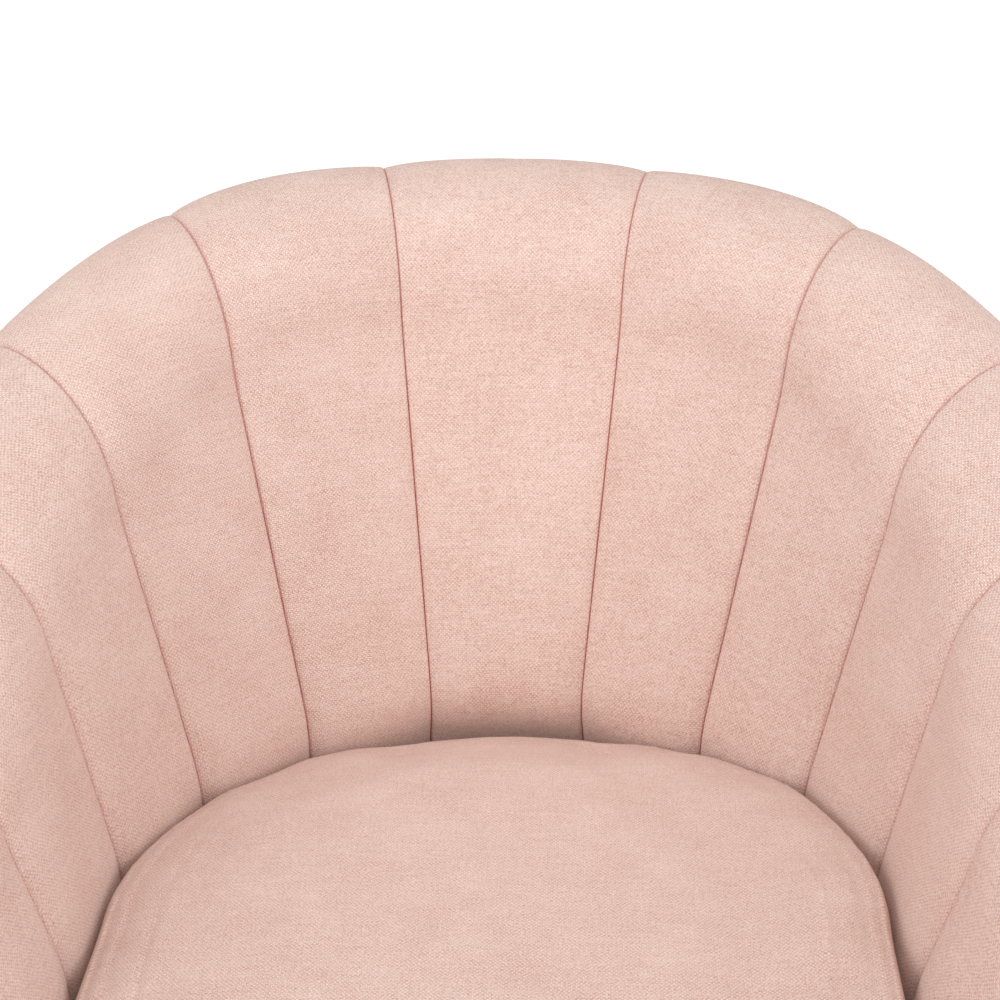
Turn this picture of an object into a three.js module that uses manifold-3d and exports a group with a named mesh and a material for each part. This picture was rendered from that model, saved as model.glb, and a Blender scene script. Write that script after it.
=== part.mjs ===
// Swivel glider chair with a channelled tub back. Millimetres, +Z up, the sitter faces -Y.
// The origin is on the floor, on the swivel axis, at the middle of the chair's width and depth.
import * as THREE from "three";
import { mergeVertices } from "three/addons/utils/BufferGeometryUtils.js";
import Module from "manifold-3d";

// ---------------------------------------------------------------- driving dimensions
const GAP = 0.3; // air between two pieces that touch
const TUB_CENTRE_Y = -88; // centre of the round back, ahead of the swivel axis
const SEAT_RADIUS = 245; // inner radius of the tub at the cushion
const ARM_LENGTH = 260; // straight run of each arm ahead of the round back
const HEM_Z = 60; // lower edge of the upholstery
const SEAT_LINE_Z = 450; // where the cushion's top meets the back
const CREST_RISE = 349; // top of the back above the seat line
const CREST_DROP = 213; // how far the top edge falls from the back to the arm fronts
const ARM_FRONT_DEPTH = 60;

const BACK_LEAN = 119; // how far the inner back leans out below its roll
const ARM_LEAN = 24.5;
const BACK_ROLL = 82; // from the inner wall out to the crest of the roll
const ARM_ROLL = 105;
const ROLL_HEIGHT = 88; // height of the roll's inner curve
const OUTER_ROLL = 45; // from the crest out to the outer wall
const OUTER_ROLL_HEIGHT = 60;
const ROLL_LIP = 12; // short straight edge below the outer roll
const OUTER_SKIN = 12; // padding thickness outside, over the crest and on the inner wall
const CREST_PAD = 30;
const WALL_PAD = 45;
const CHANNEL_PUFF = 6; // how far a channel stands proud between its seams

const CENTRE_CHANNEL_ANGLE = 24.8; // degrees round the tub
const BACK_CHANNEL_ANGLE = 21.16;
const BACK_CHANNELS_PER_SIDE = 3;
const ARM_CHANNELS_PER_SIDE = 3;
const SEAM_HALF_GAP = 0.06; // degrees

const OUTER_PANEL = 8; // outer panel thickness
const HEM_RADIUS = 331; // outer reach of the tub at its hem, to the sides and to the back
const HEM_BACK = 366;
const OUTER_BULGE = 8;
const PANEL_TOP_GAP = 1.5; // below the channels' lip
const OUTER_BACK_ANGLE = 62; // the outer back panel's seams, each side

const SEAT_RAIL_Z = [250, 310];
const SPRING_RAIL_TOP = 316;
const DECK_Z = [320, 334];
const CUSHION_FRONT = 297; // ahead of the tub centre
const CUSHION_BASE_Z = 335;

const LINK_LENGTH = 130;
const UPPER_PIVOT_Z = 225;
const LOWER_PIVOT_Z = UPPER_PIVOT_Z - LINK_LENGTH;
const PIVOT_Y = 100;
const PIVOT_HOLE = 6.3;
const PIN_RADIUS = 5.9;
const PIN_HEAD = 10;
const SIDE_PLATE_X = [148, 154];
const LINK_X = [160, 166];
const HANGER_X = [172, 178];
const BUMPER_Z = 118;
const BUMPER_RADIUS = 32;
const BUMPER_END_X = 168;

const GLIDE_HEIGHT = 10;
const RING_RADIUS = 240; // middle of the base ring
const RING_WIDTH = 32;
const RING_TOP_Z = 32;
const HUB_TOP_Z = 36;
const RACE_HEIGHT = 9.7;
const KINGPIN_RADIUS = 12;

// ---------------------------------------------------------------- materials
const finish = (color, roughness, metalness) =>
  new THREE.MeshStandardMaterial({ color, roughness, metalness });
const fabric = finish(0xe3bfb0, 0.95, 0);
const deckCloth = finish(0xd8cfc4, 0.95, 0);
const blackCloth = finish(0x26262a, 0.95, 0);
const wood = finish(0xc8a472, 0.7, 0);
const blackSteel = finish(0x232326, 0.45, 0.6);
const zincSteel = finish(0xb4b6b8, 0.35, 0.9);
const springSteel = finish(0x6c6f73, 0.4, 0.9);
const rubber = finish(0x1b1b1c, 0.85, 0);
const nylon = finish(0x3a3a3c, 0.6, 0);

// ---------------------------------------------------------------- helpers
const wasm = await Module();
wasm.setup();

const radians = THREE.MathUtils.degToRad;
const mix = THREE.MathUtils.lerp;
const steps = (from, to, count) => Array.from({ length: count + 1 }, (_, i) => mix(from, to, i / count));

function named(name, geometry, material, position = [0, 0, 0]) {
  const mesh = new THREE.Mesh(geometry, material);
  mesh.name = name;
  mesh.position.set(...position);
  return mesh;
}

function toManifold(geometry) {
  const bare = geometry.clone();
  bare.deleteAttribute("normal");
  bare.deleteAttribute("uv");
  const merged = mergeVertices(bare, 1e-4);
  return new wasm.Manifold(
    new wasm.Mesh({
      numProp: 3,
      vertProperties: merged.attributes.position.array,
      triVerts: new Uint32Array(merged.index.array),
    }),
  );
}

function fromManifold(solid) {
  const mesh = solid.getMesh();
  const geometry = new THREE.BufferGeometry();
  geometry.setAttribute("position", new THREE.BufferAttribute(mesh.vertProperties, 3));
  geometry.setIndex(new THREE.BufferAttribute(mesh.triVerts, 1));
  return geometry;
}

function box(sizeX, sizeY, sizeZ, x, y, z) {
  return new THREE.BoxGeometry(sizeX, sizeY, sizeZ).translate(x, y, z);
}

// A box between two corners.
function block(x, y, z) {
  return box(x[1] - x[0], y[1] - y[0], z[1] - z[0], (x[0] + x[1]) / 2, (y[0] + y[1]) / 2, (z[0] + z[1]) / 2);
}

function uprightCylinder(radius, zLow, zHigh, sides) {
  const height = zHigh - zLow;
  return new THREE.CylinderGeometry(radius, radius, height, sides)
    .rotateX(Math.PI / 2)
    .translate(0, 0, zLow + height / 2);
}

function cylinderAlongX(radius, xLow, xHigh, sides) {
  const height = xHigh - xLow;
  return new THREE.CylinderGeometry(radius, radius, height, sides)
    .rotateZ(Math.PI / 2)
    .translate(xLow + height / 2, 0, 0);
}

// A plate drawn as (y, z) and given its thickness along x.
function plateAlongX(shape, x) {
  const depth = x[1] - x[0];
  const geometry = new THREE.ExtrudeGeometry(shape, { depth, bevelEnabled: false, curveSegments: 10 });
  const turn = new THREE.Matrix4().makeBasis(
    new THREE.Vector3(0, 1, 0),
    new THREE.Vector3(0, 0, 1),
    new THREE.Vector3(1, 0, 0),
  );
  return geometry.applyMatrix4(turn).translate(x[0], 0, 0);
}

function addHole(shape, u, v, radius) {
  shape.holes.push(new THREE.Path().absarc(u, v, radius, 0, 2 * Math.PI, true));
}

function signedVolume(positions, index) {
  const corner = (i) => new THREE.Vector3().fromArray(positions, 3 * i);
  let volume = 0;
  for (let i = 0; i < index.length; i += 3) {
    volume += corner(index[i]).dot(corner(index[i + 1]).cross(corner(index[i + 2])));
  }
  return volume;
}

// A closed solid through a row of loops with equal point counts. capOutline is the loop's shape in its
// own plane, from which both end caps are cut into triangles.
function loft(loops, capOutline) {
  const count = loops[0].length;
  const positions = loops.flat().flatMap((p) => p.toArray());
  const index = [];
  for (let row = 0; row + 1 < loops.length; row++) {
    for (let i = 0; i < count; i++) {
      const a = row * count + i;
      const b = row * count + ((i + 1) % count);
      index.push(a, b, b + count, a, b + count, a + count);
    }
  }
  const last = (loops.length - 1) * count;
  const clockwise = THREE.ShapeUtils.isClockWise(capOutline);
  for (const corners of THREE.ShapeUtils.triangulateShape(capOutline, [])) {
    const [a, b, c] = clockwise ? corners.reverse() : corners;
    index.push(c, b, a, last + a, last + b, last + c);
  }
  if (signedVolume(positions, index) < 0) index.reverse();
  const geometry = new THREE.BufferGeometry();
  geometry.setAttribute("position", new THREE.Float32BufferAttribute(positions, 3));
  geometry.setIndex(index);
  return geometry;
}

// ---------------------------------------------------------------- the tub's form
// A place round the tub is an angle: 0 at the back, negative on the left. Past 90 degrees the wall runs
// straight forward, and the angle counts the length that it would cover at the seat radius.
const ARM_END_ANGLE = 90 + THREE.MathUtils.radToDeg(ARM_LENGTH / SEAT_RADIUS);

function planPoint(angle, radius, z) {
  const side = Math.sign(angle);
  const turned = Math.abs(angle);
  if (turned <= 90)
    return new THREE.Vector3(radius * Math.sin(radians(angle)), radius * Math.cos(radians(angle)), z);
  return new THREE.Vector3(side * radius, -radians(turned - 90) * SEAT_RADIUS, z);
}

const sideShare = (angle) => Math.sin(radians(Math.min(Math.abs(angle), 90))) ** 2;
const lean = (angle) => mix(BACK_LEAN, ARM_LEAN, sideShare(angle));
const roll = (angle) => mix(BACK_ROLL, ARM_ROLL, sideShare(angle));
const crestRadius = (angle) => SEAT_RADIUS + lean(angle) + roll(angle);
const crestZ = (angle) =>
  SEAT_LINE_Z + CREST_RISE - (CREST_DROP * (1 - Math.cos((Math.PI * angle) / ARM_END_ANGLE))) / 2;

// Points of a quarter ellipse from one end of its arc to the other.
function quarter(centreR, centreZ, halfR, halfZ, from, to, count) {
  return steps(from, to, count).map(
    (a) => new THREE.Vector2(centreR + halfR * Math.cos(radians(a)), centreZ + halfZ * Math.sin(radians(a))),
  );
}

// The upper outside of the tub wall at one angle, from the seat line over the roll to the outer lip.
function rolledFace(angle, puff) {
  const wallTop = SEAT_RADIUS + lean(angle);
  const top = crestZ(angle) + puff;
  const crest = crestRadius(angle);
  return [
    new THREE.Vector2(SEAT_RADIUS - puff, SEAT_LINE_Z),
    new THREE.Vector2(mix(SEAT_RADIUS, wallTop, 0.5) - puff, mix(SEAT_LINE_Z, top - ROLL_HEIGHT, 0.5)),
    ...quarter(crest, top - ROLL_HEIGHT, crest - wallTop + puff, ROLL_HEIGHT, 180, 90, 4),
    ...quarter(crest, top - OUTER_ROLL_HEIGHT, OUTER_ROLL + puff, OUTER_ROLL_HEIGHT, 67.5, 0, 3),
    new THREE.Vector2(crest + OUTER_ROLL + puff, crestZ(angle) - OUTER_ROLL_HEIGHT - ROLL_LIP),
  ];
}

// One stuffed channel's section: its inner wall, the roll, the lip, and back under the roll.
function channelSection(angle, puff) {
  const wallTop = SEAT_RADIUS + lean(angle);
  const top = crestZ(angle);
  const crest = crestRadius(angle);
  const lipInner = crest + OUTER_ROLL - OUTER_SKIN;
  return [
    new THREE.Vector2(SEAT_RADIUS, DECK_Z[0]),
    ...rolledFace(angle, puff),
    new THREE.Vector2(lipInner, top - OUTER_ROLL_HEIGHT - ROLL_LIP),
    ...quarter(
      crest, top - OUTER_ROLL_HEIGHT, OUTER_ROLL - OUTER_SKIN, OUTER_ROLL_HEIGHT - CREST_PAD, 0, 90, 3,
    ),
    ...quarter(crest, top - ROLL_HEIGHT, crest - wallTop - WALL_PAD, ROLL_HEIGHT - CREST_PAD, 120, 180, 2),
    new THREE.Vector2(SEAT_RADIUS + WALL_PAD, SEAT_LINE_Z),
    new THREE.Vector2(SEAT_RADIUS + WALL_PAD, DECK_Z[0]),
  ];
}

function channel(from, to) {
  const angles = steps(from + SEAM_HALF_GAP, to - SEAM_HALF_GAP, 4);
  const sections = angles.map((angle, i) =>
    channelSection(angle, CHANNEL_PUFF * Math.sin((Math.PI * i) / 4)),
  );
  const loops = sections.map((section, i) => section.map((p) => planPoint(angles[i], p.x, p.y)));
  return loft(loops, sections[0]);
}

const armChannelAngle =
  (ARM_END_ANGLE - CENTRE_CHANNEL_ANGLE / 2 - BACK_CHANNEL_ANGLE * BACK_CHANNELS_PER_SIDE) /
  ARM_CHANNELS_PER_SIDE;

function makeChannels() {
  const half = CENTRE_CHANNEL_ANGLE / 2;
  const meshes = [named("channel_centre", channel(-half, half), fabric)];
  let from = half;
  for (let i = 1; i <= BACK_CHANNELS_PER_SIDE + ARM_CHANNELS_PER_SIDE; i++) {
    const to = from + (i <= BACK_CHANNELS_PER_SIDE ? BACK_CHANNEL_ANGLE : armChannelAngle);
    meshes.push(named(`channel_left_${i}`, channel(-to, -from), fabric));
    meshes.push(named(`channel_right_${i}`, channel(from, to), fabric));
    from = to;
  }
  return meshes;
}

// The outer wall's radius at a height: straight from the hem to the lip, and a little full between them.
const lipZ = (angle) => crestZ(angle) - OUTER_ROLL_HEIGHT - ROLL_LIP;
const hemRadius = (angle) => mix(HEM_BACK, HEM_RADIUS, sideShare(angle));
function outerRadius(angle, share) {
  const flat = mix(hemRadius(angle), crestRadius(angle) + OUTER_ROLL, share);
  return flat + OUTER_BULGE * Math.sin(Math.PI * share);
}

function outerPanel(from, to) {
  const angles = steps(from + SEAM_HALF_GAP, to - SEAM_HALF_GAP, 10);
  const shares = steps(0, 1, 4);
  const sections = angles.map((angle) => {
    const z = (share) => mix(HEM_Z, lipZ(angle) - PANEL_TOP_GAP, share);
    const outside = shares.map((share) => new THREE.Vector2(outerRadius(angle, share), z(share)));
    const inside = shares.map(
      (share) => new THREE.Vector2(outerRadius(angle, share) - OUTER_PANEL, z(share)),
    );
    return [...outside, ...inside.reverse()];
  });
  const loops = sections.map((section, i) => section.map((p) => planPoint(angles[i], p.x, p.y)));
  return loft(loops, sections[0]);
}

// An arm's front: the whole wall section, drawn in towards its middle as it comes forward.
function armFront(side) {
  const angle = side * ARM_END_ANGLE;
  const outside = steps(1, 0, 4).map(
    (share) => new THREE.Vector2(outerRadius(angle, share), mix(HEM_Z, lipZ(angle), share)),
  );
  const section = [new THREE.Vector2(SEAT_RADIUS, HEM_Z), ...rolledFace(angle, 0).slice(0, -1), ...outside];
  const middleX = SEAT_RADIUS + WALL_PAD;
  const middleZ = SEAT_LINE_Z;
  const loops = steps(0, 1, 4).map((share) => {
    const turned = 1 - Math.sqrt(1 - (0.97 * share) ** 2);
    const shrink = 1 - 0.35 * turned;
    const shrinkZ = 1 - 0.22 * turned;
    const y = -ARM_LENGTH - GAP - ARM_FRONT_DEPTH * share;
    return section.map((p) => {
      const x = middleX + (p.x - middleX) * shrink;
      const z = p.y > middleZ ? middleZ + (p.y - middleZ) * shrinkZ : p.y;
      return new THREE.Vector3(side * x, y, z);
    });
  });
  return loft(loops, section);
}

// ---------------------------------------------------------------- the wooden frame
const RAIL_BELOW_CREST = [50, 80];
const TOP_RAIL_REACH = [-20, 16]; // from the crest, inwards and outwards
const HOOP_INSET = 12; // from the hem in to the hoop's outer edge
const HOOP_WIDTH = 29;
const HOOP_HEIGHT = 20;
const POST_ANGLES = [28, 138];
const POST_HALF_DEPTH = 12;
const POST_HALF_ANGLE = 4.5;
const FRONT_RAIL_Y = -220; // middle of the front seat rail, from the tub centre

function topRail() {
  const angles = steps(-ARM_END_ANGLE + 1, ARM_END_ANGLE - 1, 28);
  const section = (angle) => {
    const r = TOP_RAIL_REACH.map((reach) => crestRadius(angle) + reach);
    const z = RAIL_BELOW_CREST.map((below) => crestZ(angle) - below);
    return [[r[0], z[1]], [r[1], z[1]], [r[1], z[0]], [r[0], z[0]]].map(([x, y]) => new THREE.Vector2(x, y));
  };
  const loops = angles.map((angle) => section(angle).map((p) => planPoint(angle, p.x, p.y)));
  return loft(loops, section(angles[0]));
}

// A D in plan: round at the back, straight sides, square front.
function planD(radius, back, front) {
  const shape = new THREE.Shape();
  shape.moveTo(radius, front);
  shape.lineTo(radius, 0);
  shape.absellipse(0, 0, radius, back, 0, Math.PI, false);
  shape.lineTo(-radius, front);
  shape.closePath();
  return shape;
}

function slab(shape, zLow, zHigh, curveSegments = 14) {
  const depth = zHigh - zLow;
  const geometry = new THREE.ExtrudeGeometry(shape, { depth, bevelEnabled: false, curveSegments });
  return geometry.translate(0, 0, zLow);
}

function bottomHoop() {
  const hoop = (inset) => planD(HEM_RADIUS - inset, HEM_BACK - inset, -ARM_LENGTH - 1 + inset);
  const shape = hoop(HOOP_INSET);
  shape.holes.push(new THREE.Path(hoop(HOOP_INSET + HOOP_WIDTH).getPoints(14).reverse()));
  return slab(shape, HEM_Z + 1, HEM_Z + 1 + HOOP_HEIGHT);
}

function post(angle) {
  const low = HEM_Z + 1 + HOOP_HEIGHT + GAP;
  const high = crestZ(Math.abs(angle) + POST_HALF_ANGLE) - RAIL_BELOW_CREST[1] - 2;
  const loop = (radius, z) =>
    [[-1, -1], [1, -1], [1, 1], [-1, 1]].map(([a, r]) =>
      planPoint(angle + a * POST_HALF_ANGLE, radius + r * POST_HALF_DEPTH, z),
    );
  const square = [[-1, -1], [1, -1], [1, 1], [-1, 1]].map(([x, y]) => new THREE.Vector2(x, y));
  const foot = hemRadius(angle) - HOOP_INSET - POST_HALF_DEPTH;
  return loft([loop(foot, low), loop(crestRadius(angle) - 2, high)], square);
}

function makeFrame() {
  const front = [FRONT_RAIL_Y - 25, FRONT_RAIL_Y];
  const rear = [211, 235];
  const sideLow = 162;
  const sideHigh = 204;
  const sideY = [front[1] + GAP, rear[0] - GAP];
  return [
    named("frame_top_rail", topRail(), wood),
    named("frame_bottom_hoop", bottomHoop(), wood),
    ...POST_ANGLES.flatMap((angle, i) => [
      named(`frame_post_left_${i + 1}`, post(-angle), wood),
      named(`frame_post_right_${i + 1}`, post(angle), wood),
    ]),
    named("seat_rail_front", block([-285, 285], front, [SEAT_RAIL_Z[0], SPRING_RAIL_TOP]), wood),
    named("seat_rail_rear", block([-240, 240], rear, [SEAT_RAIL_Z[0], SPRING_RAIL_TOP]), wood),
    named("seat_rail_left", block([-sideHigh, -sideLow], sideY, SEAT_RAIL_Z), wood),
    named("seat_rail_right", block([sideLow, sideHigh], sideY, SEAT_RAIL_Z), wood),
  ];
}

// ---------------------------------------------------------------- seat
const SPRING_WIRE = 1.7;
const SPRING_SWING = 20;
const SPRING_PITCH = 56;
const SPRING_X = [-110, 0, 110];

class SinuousCurve extends THREE.Curve {
  getPoint(t, target = new THREE.Vector3()) {
    const y = mix(FRONT_RAIL_Y - 12, 223, t);
    return target.set(SPRING_SWING * Math.sin((2 * Math.PI * y) / SPRING_PITCH), y, 318.1);
  }
}

function seatSpring() {
  const wire = new THREE.Shape();
  wire.absarc(0, 0, SPRING_WIRE, 0, 2 * Math.PI, false);
  const along = new SinuousCurve();
  return new THREE.ExtrudeGeometry(wire, {
    steps: 60,
    bevelEnabled: false,
    curveSegments: 2,
    extrudePath: along,
  });
}

// The cushion's plan, drawn in by an inset all round. Its front is square with round corners and bows out.
const CUSHION_RADIUS = SEAT_RADIUS - CHANNEL_PUFF - 1;
const CUSHION_CORNER = 55;
const CUSHION_BOW = 14;

function cushionOutline(inset, z) {
  const half = CUSHION_RADIUS - inset;
  const front = -(CUSHION_FRONT - CUSHION_BOW - inset);
  const corner = Math.min(CUSHION_CORNER, half - 20);
  const back = steps(0, 180, 14).map(
    (a) => new THREE.Vector3(half * Math.cos(radians(a)), half * Math.sin(radians(a)), z),
  );
  const leftCorner = steps(180, 270, 3).map(
    (a) =>
      new THREE.Vector3(
        -half + corner + corner * Math.cos(radians(a)),
        front + corner + corner * Math.sin(radians(a)),
        z,
      ),
  );
  const bow = [-0.4, 0, 0.4].map((x) => new THREE.Vector3(x * half, front - CUSHION_BOW * Math.cos(x), z));
  const rightCorner = leftCorner.map((p) => new THREE.Vector3(-p.x, p.y, z)).reverse();
  return [...back, ...leftCorner, ...bow, ...rightCorner];
}

function seatCushion() {
  const levels = [
    [0, 14],
    [10, 4],
    [28, 0],
    [92, 0],
    [114, 7],
    [128, 36],
    [137, 85],
    [141, 150],
  ];
  const loops = levels.map(([rise, inset]) => cushionOutline(inset, CUSHION_BASE_Z + rise));
  return loft(loops, loops[0].map((p) => new THREE.Vector2(p.x, p.y)));
}

// ---------------------------------------------------------------- glide mechanism
function sidePlate(side) {
  const shape = new THREE.Shape();
  const low = 62 + GAP;
  shape.moveTo(-125, low);
  shape.lineTo(125, low);
  shape.lineTo(125, 140);
  shape.lineTo(118, 232);
  shape.lineTo(110, 240);
  shape.lineTo(-110, 240);
  shape.lineTo(-118, 232);
  shape.lineTo(-125, 140);
  shape.closePath();
  addHole(shape, -PIVOT_Y, UPPER_PIVOT_Z, PIVOT_HOLE);
  addHole(shape, PIVOT_Y, UPPER_PIVOT_Z, PIVOT_HOLE);
  const plate = toManifold(plateAlongX(shape, SIDE_PLATE_X));
  const flange = toManifold(block([SIDE_PLATE_X[0] - 34, SIDE_PLATE_X[0] + 1], [-125, 125], [low, low + 5]));
  const geometry = fromManifold(plate.add(flange));
  return side < 0 ? geometry.rotateZ(Math.PI) : geometry;
}

function glideLink() {
  const shape = new THREE.Shape();
  const halfWidth = 12;
  shape.absarc(0, 0, halfWidth, 0, Math.PI, false);
  shape.absarc(0, -LINK_LENGTH, halfWidth, Math.PI, 2 * Math.PI, false);
  shape.closePath();
  addHole(shape, 0, 0, PIVOT_HOLE);
  addHole(shape, 0, -LINK_LENGTH, PIVOT_HOLE);
  return plateAlongX(shape, [-3, 3]);
}

function joinedAlongX(parts) {
  return fromManifold(parts.map(toManifold).reduce((sum, part) => sum.add(part)));
}

function upperAxle() {
  const end = 166.4;
  return joinedAlongX([
    cylinderAlongX(PIN_RADIUS, -end - 1, end + 1, 16),
    cylinderAlongX(PIN_HEAD, end, end + 3.6, 12),
    cylinderAlongX(PIN_HEAD, -end - 3.6, -end, 12),
  ]);
}

function lowerPin() {
  const middle = (LINK_X[0] + HANGER_X[1]) / 2;
  const reach = (HANGER_X[1] - LINK_X[0]) / 2 + GAP;
  const geometry = joinedAlongX([
    cylinderAlongX(PIN_RADIUS, -reach - 1, reach + 1, 16),
    cylinderAlongX(PIN_HEAD, -reach - 3.4, -reach, 12),
    cylinderAlongX(PIN_HEAD, reach, reach + 3.4, 12),
  ]);
  return { geometry, middle };
}

// The hanger's top edge is lower than the dust cover; its flange carries the seat's side rail.
function seatHanger(side) {
  const top = SEAT_RAIL_Z[0] - 2.4;
  const shape = new THREE.Shape();
  shape.moveTo(-116, LOWER_PIVOT_Z);
  shape.absarc(-PIVOT_Y, LOWER_PIVOT_Z, 16, Math.PI, 1.5 * Math.PI, false);
  shape.absarc(PIVOT_Y, LOWER_PIVOT_Z, 16, 1.5 * Math.PI, 2 * Math.PI, false);
  shape.lineTo(150, top - 25);
  shape.lineTo(150, top);
  shape.lineTo(-150, top);
  shape.lineTo(-150, top - 25);
  shape.closePath();
  addHole(shape, -PIVOT_Y, LOWER_PIVOT_Z, PIVOT_HOLE);
  addHole(shape, PIVOT_Y, LOWER_PIVOT_Z, PIVOT_HOLE);
  const plate = toManifold(plateAlongX(shape, HANGER_X));
  const flange = toManifold(block([HANGER_X[1] - 1, HANGER_X[1] + 27], [-150, 150], [top - 5, top]));
  const geometry = fromManifold(plate.add(flange));
  return side < 0 ? geometry.rotateZ(Math.PI) : geometry;
}

function makeLinks() {
  const middle = (LINK_X[0] + LINK_X[1]) / 2;
  const places = { front_left: [-1, -1], front_right: [1, -1], rear_left: [-1, 1], rear_right: [1, 1] };
  return Object.entries(places).map(([place, [x, y]]) =>
    named(`glide_link_${place}`, glideLink(), blackSteel, [x * middle, y * PIVOT_Y, UPPER_PIVOT_Z]),
  );
}

function bumper(xLow, xHigh) {
  return cylinderAlongX(BUMPER_RADIUS, xLow, xHigh, 24);
}

function makeCarriage() {
  const plateLow = HUB_TOP_Z + GAP + RACE_HEIGHT + GAP + RACE_HEIGHT + GAP;
  const hole = toManifold(uprightCylinder(KINGPIN_RADIUS + GAP, 0, 100, 24));
  const plate = toManifold(block([-160, 160], [-130, 130], [plateLow, 62]));
  return [
    named("swivel_upper_race", bearingRace(HUB_TOP_Z + GAP + RACE_HEIGHT + GAP), zincSteel),
    named("swivel_plate", fromManifold(plate.subtract(hole)), blackSteel),
    named("side_plate_left", sidePlate(-1), blackSteel),
    named("side_plate_right", sidePlate(1), blackSteel),
    named("upper_axle_front", upperAxle(), zincSteel, [0, -PIVOT_Y, UPPER_PIVOT_Z]),
    named("upper_axle_rear", upperAxle(), zincSteel, [0, PIVOT_Y, UPPER_PIVOT_Z]),
    named("stop_bumper_left", bumper(-BUMPER_END_X, -SIDE_PLATE_X[1] - GAP), rubber, [0, 0, BUMPER_Z]),
    named("stop_bumper_right", bumper(SIDE_PLATE_X[1] + GAP, BUMPER_END_X), rubber, [0, 0, BUMPER_Z]),
  ];
}

// ---------------------------------------------------------------- base and swivel
// A ring with a rectangular section and broken edges.
function ring(inner, outer, zLow, zHigh, bevel, segments) {
  const profile = [
    [inner + bevel, zLow],
    [outer - bevel, zLow],
    [outer, zLow + bevel],
    [outer, zHigh - bevel],
    [outer - bevel, zHigh],
    [inner + bevel, zHigh],
    [inner, zHigh - bevel],
    [inner, zLow + bevel],
    [inner + bevel, zLow],
  ].map(([r, z]) => new THREE.Vector2(r, z));
  return new THREE.LatheGeometry(profile, segments).rotateX(Math.PI / 2);
}

function bearingRace(zLow) {
  return ring(40, 105, zLow, zLow + RACE_HEIGHT, 2.5, 32);
}

function baseFrame() {
  const reach = RING_RADIUS;
  const height = RING_TOP_Z - GLIDE_HEIGHT;
  const middle = GLIDE_HEIGHT + height / 2;
  const half = RING_WIDTH / 2;
  const hoop = toManifold(ring(reach - half, reach + half, GLIDE_HEIGHT, RING_TOP_Z, 5, 48));
  const barX = toManifold(box(2 * reach, 44, height - 2, 0, 0, middle));
  const barY = toManifold(box(44, 2 * reach, height - 2, 0, 0, middle));
  const hub = toManifold(uprightCylinder(60, GLIDE_HEIGHT, HUB_TOP_Z, 32));
  const hole = toManifold(uprightCylinder(KINGPIN_RADIUS + GAP, 0, 100, 24));
  return fromManifold(hoop.add(barX).add(barY).add(hub).subtract(hole));
}

// The swivel's centre pin, with a head below the hub and a riveted washer over the swivel plate.
function kingpin() {
  const head = toManifold(uprightCylinder(20, 3.5, GLIDE_HEIGHT - GAP, 6));
  const shaft = toManifold(uprightCylinder(KINGPIN_RADIUS, 6, 72, 24));
  const washer = toManifold(uprightCylinder(24, 62 + GAP, 68, 24));
  return fromManifold(head.add(shaft).add(washer));
}

function makeBase() {
  const places = { front: [0, -1], right: [1, 0], rear: [0, 1], left: [-1, 0] };
  const foot = () => uprightCylinder(18, 0, GLIDE_HEIGHT - GAP, 20);
  return [
    ...Object.entries(places).map(([place, [x, y]]) =>
      named(`floor_glide_${place}`, foot(), nylon, [x * RING_RADIUS, y * RING_RADIUS, 0]),
    ),
    named("base_frame", baseFrame(), blackSteel),
    named("swivel_lower_race", bearingRace(HUB_TOP_Z + GAP), zincSteel),
    named("kingpin", kingpin(), zincSteel),
  ];
}

// ---------------------------------------------------------------- assembly
function makeSeatHangers() {
  const pin = lowerPin();
  const places = { front_left: [-1, -1], front_right: [1, -1], rear_left: [-1, 1], rear_right: [1, 1] };
  return [
    named("seat_hanger_left", seatHanger(-1), blackSteel),
    named("seat_hanger_right", seatHanger(1), blackSteel),
    ...Object.entries(places).map(([place, [x, y]]) =>
      named(`lower_pin_${place}`, pin.geometry.clone(), zincSteel, [x * pin.middle, y * PIVOT_Y, LOWER_PIVOT_Z]),
    ),
  ];
}

function makeTub() {
  const apronY = [-ARM_LENGTH - 30, -ARM_LENGTH + 10];
  return [
    ...makeChannels(),
    named("arm_front_left", armFront(-1), fabric),
    named("arm_front_right", armFront(1), fabric),
    named("outer_back", outerPanel(-OUTER_BACK_ANGLE, OUTER_BACK_ANGLE), fabric),
    named("outer_side_left", outerPanel(-ARM_END_ANGLE, -OUTER_BACK_ANGLE), fabric),
    named("outer_side_right", outerPanel(OUTER_BACK_ANGLE, ARM_END_ANGLE), fabric),
    named("front_apron", block([-SEAT_RADIUS + 1, SEAT_RADIUS - 1], apronY, [HEM_Z, DECK_Z[1] - 3]), fabric),
    ...makeFrame(),
    ...SPRING_X.map((x, i) => named(`seat_spring_${i + 1}`, seatSpring(), springSteel, [x, 0, 0])),
    named("seat_deck", slab(planD(SEAT_RADIUS - 2, SEAT_RADIUS - 2, -ARM_LENGTH + 12), ...DECK_Z), deckCloth),
    named(
      "dust_cover",
      slab(planD(284, 310, FRONT_RAIL_Y - 25), SEAT_RAIL_Z[0] - 2, SEAT_RAIL_Z[0] - 0.4, 12),
      blackCloth,
    ),
  ];
}

function group(meshes, position = [0, 0, 0]) {
  const result = new THREE.Group();
  result.position.set(...position);
  result.add(...meshes);
  return result;
}

const chair = new THREE.Group();
chair.add(
  group(makeBase()),
  group(makeCarriage()),
  group(makeLinks()),
  group(makeSeatHangers()),
  group(makeTub(), [0, TUB_CENTRE_Y, 0]),
  group([named("seat_cushion", seatCushion(), fabric)], [0, TUB_CENTRE_Y, 0]),
);

export default chair;
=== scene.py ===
"""A swivel glider nursery chair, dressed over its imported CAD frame. Metres, +Z up, the sitter faces -Y."""
import math
from contextlib import contextmanager

import bmesh
import bpy
import numpy as np
from mathutils import Matrix, Vector, noise


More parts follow.
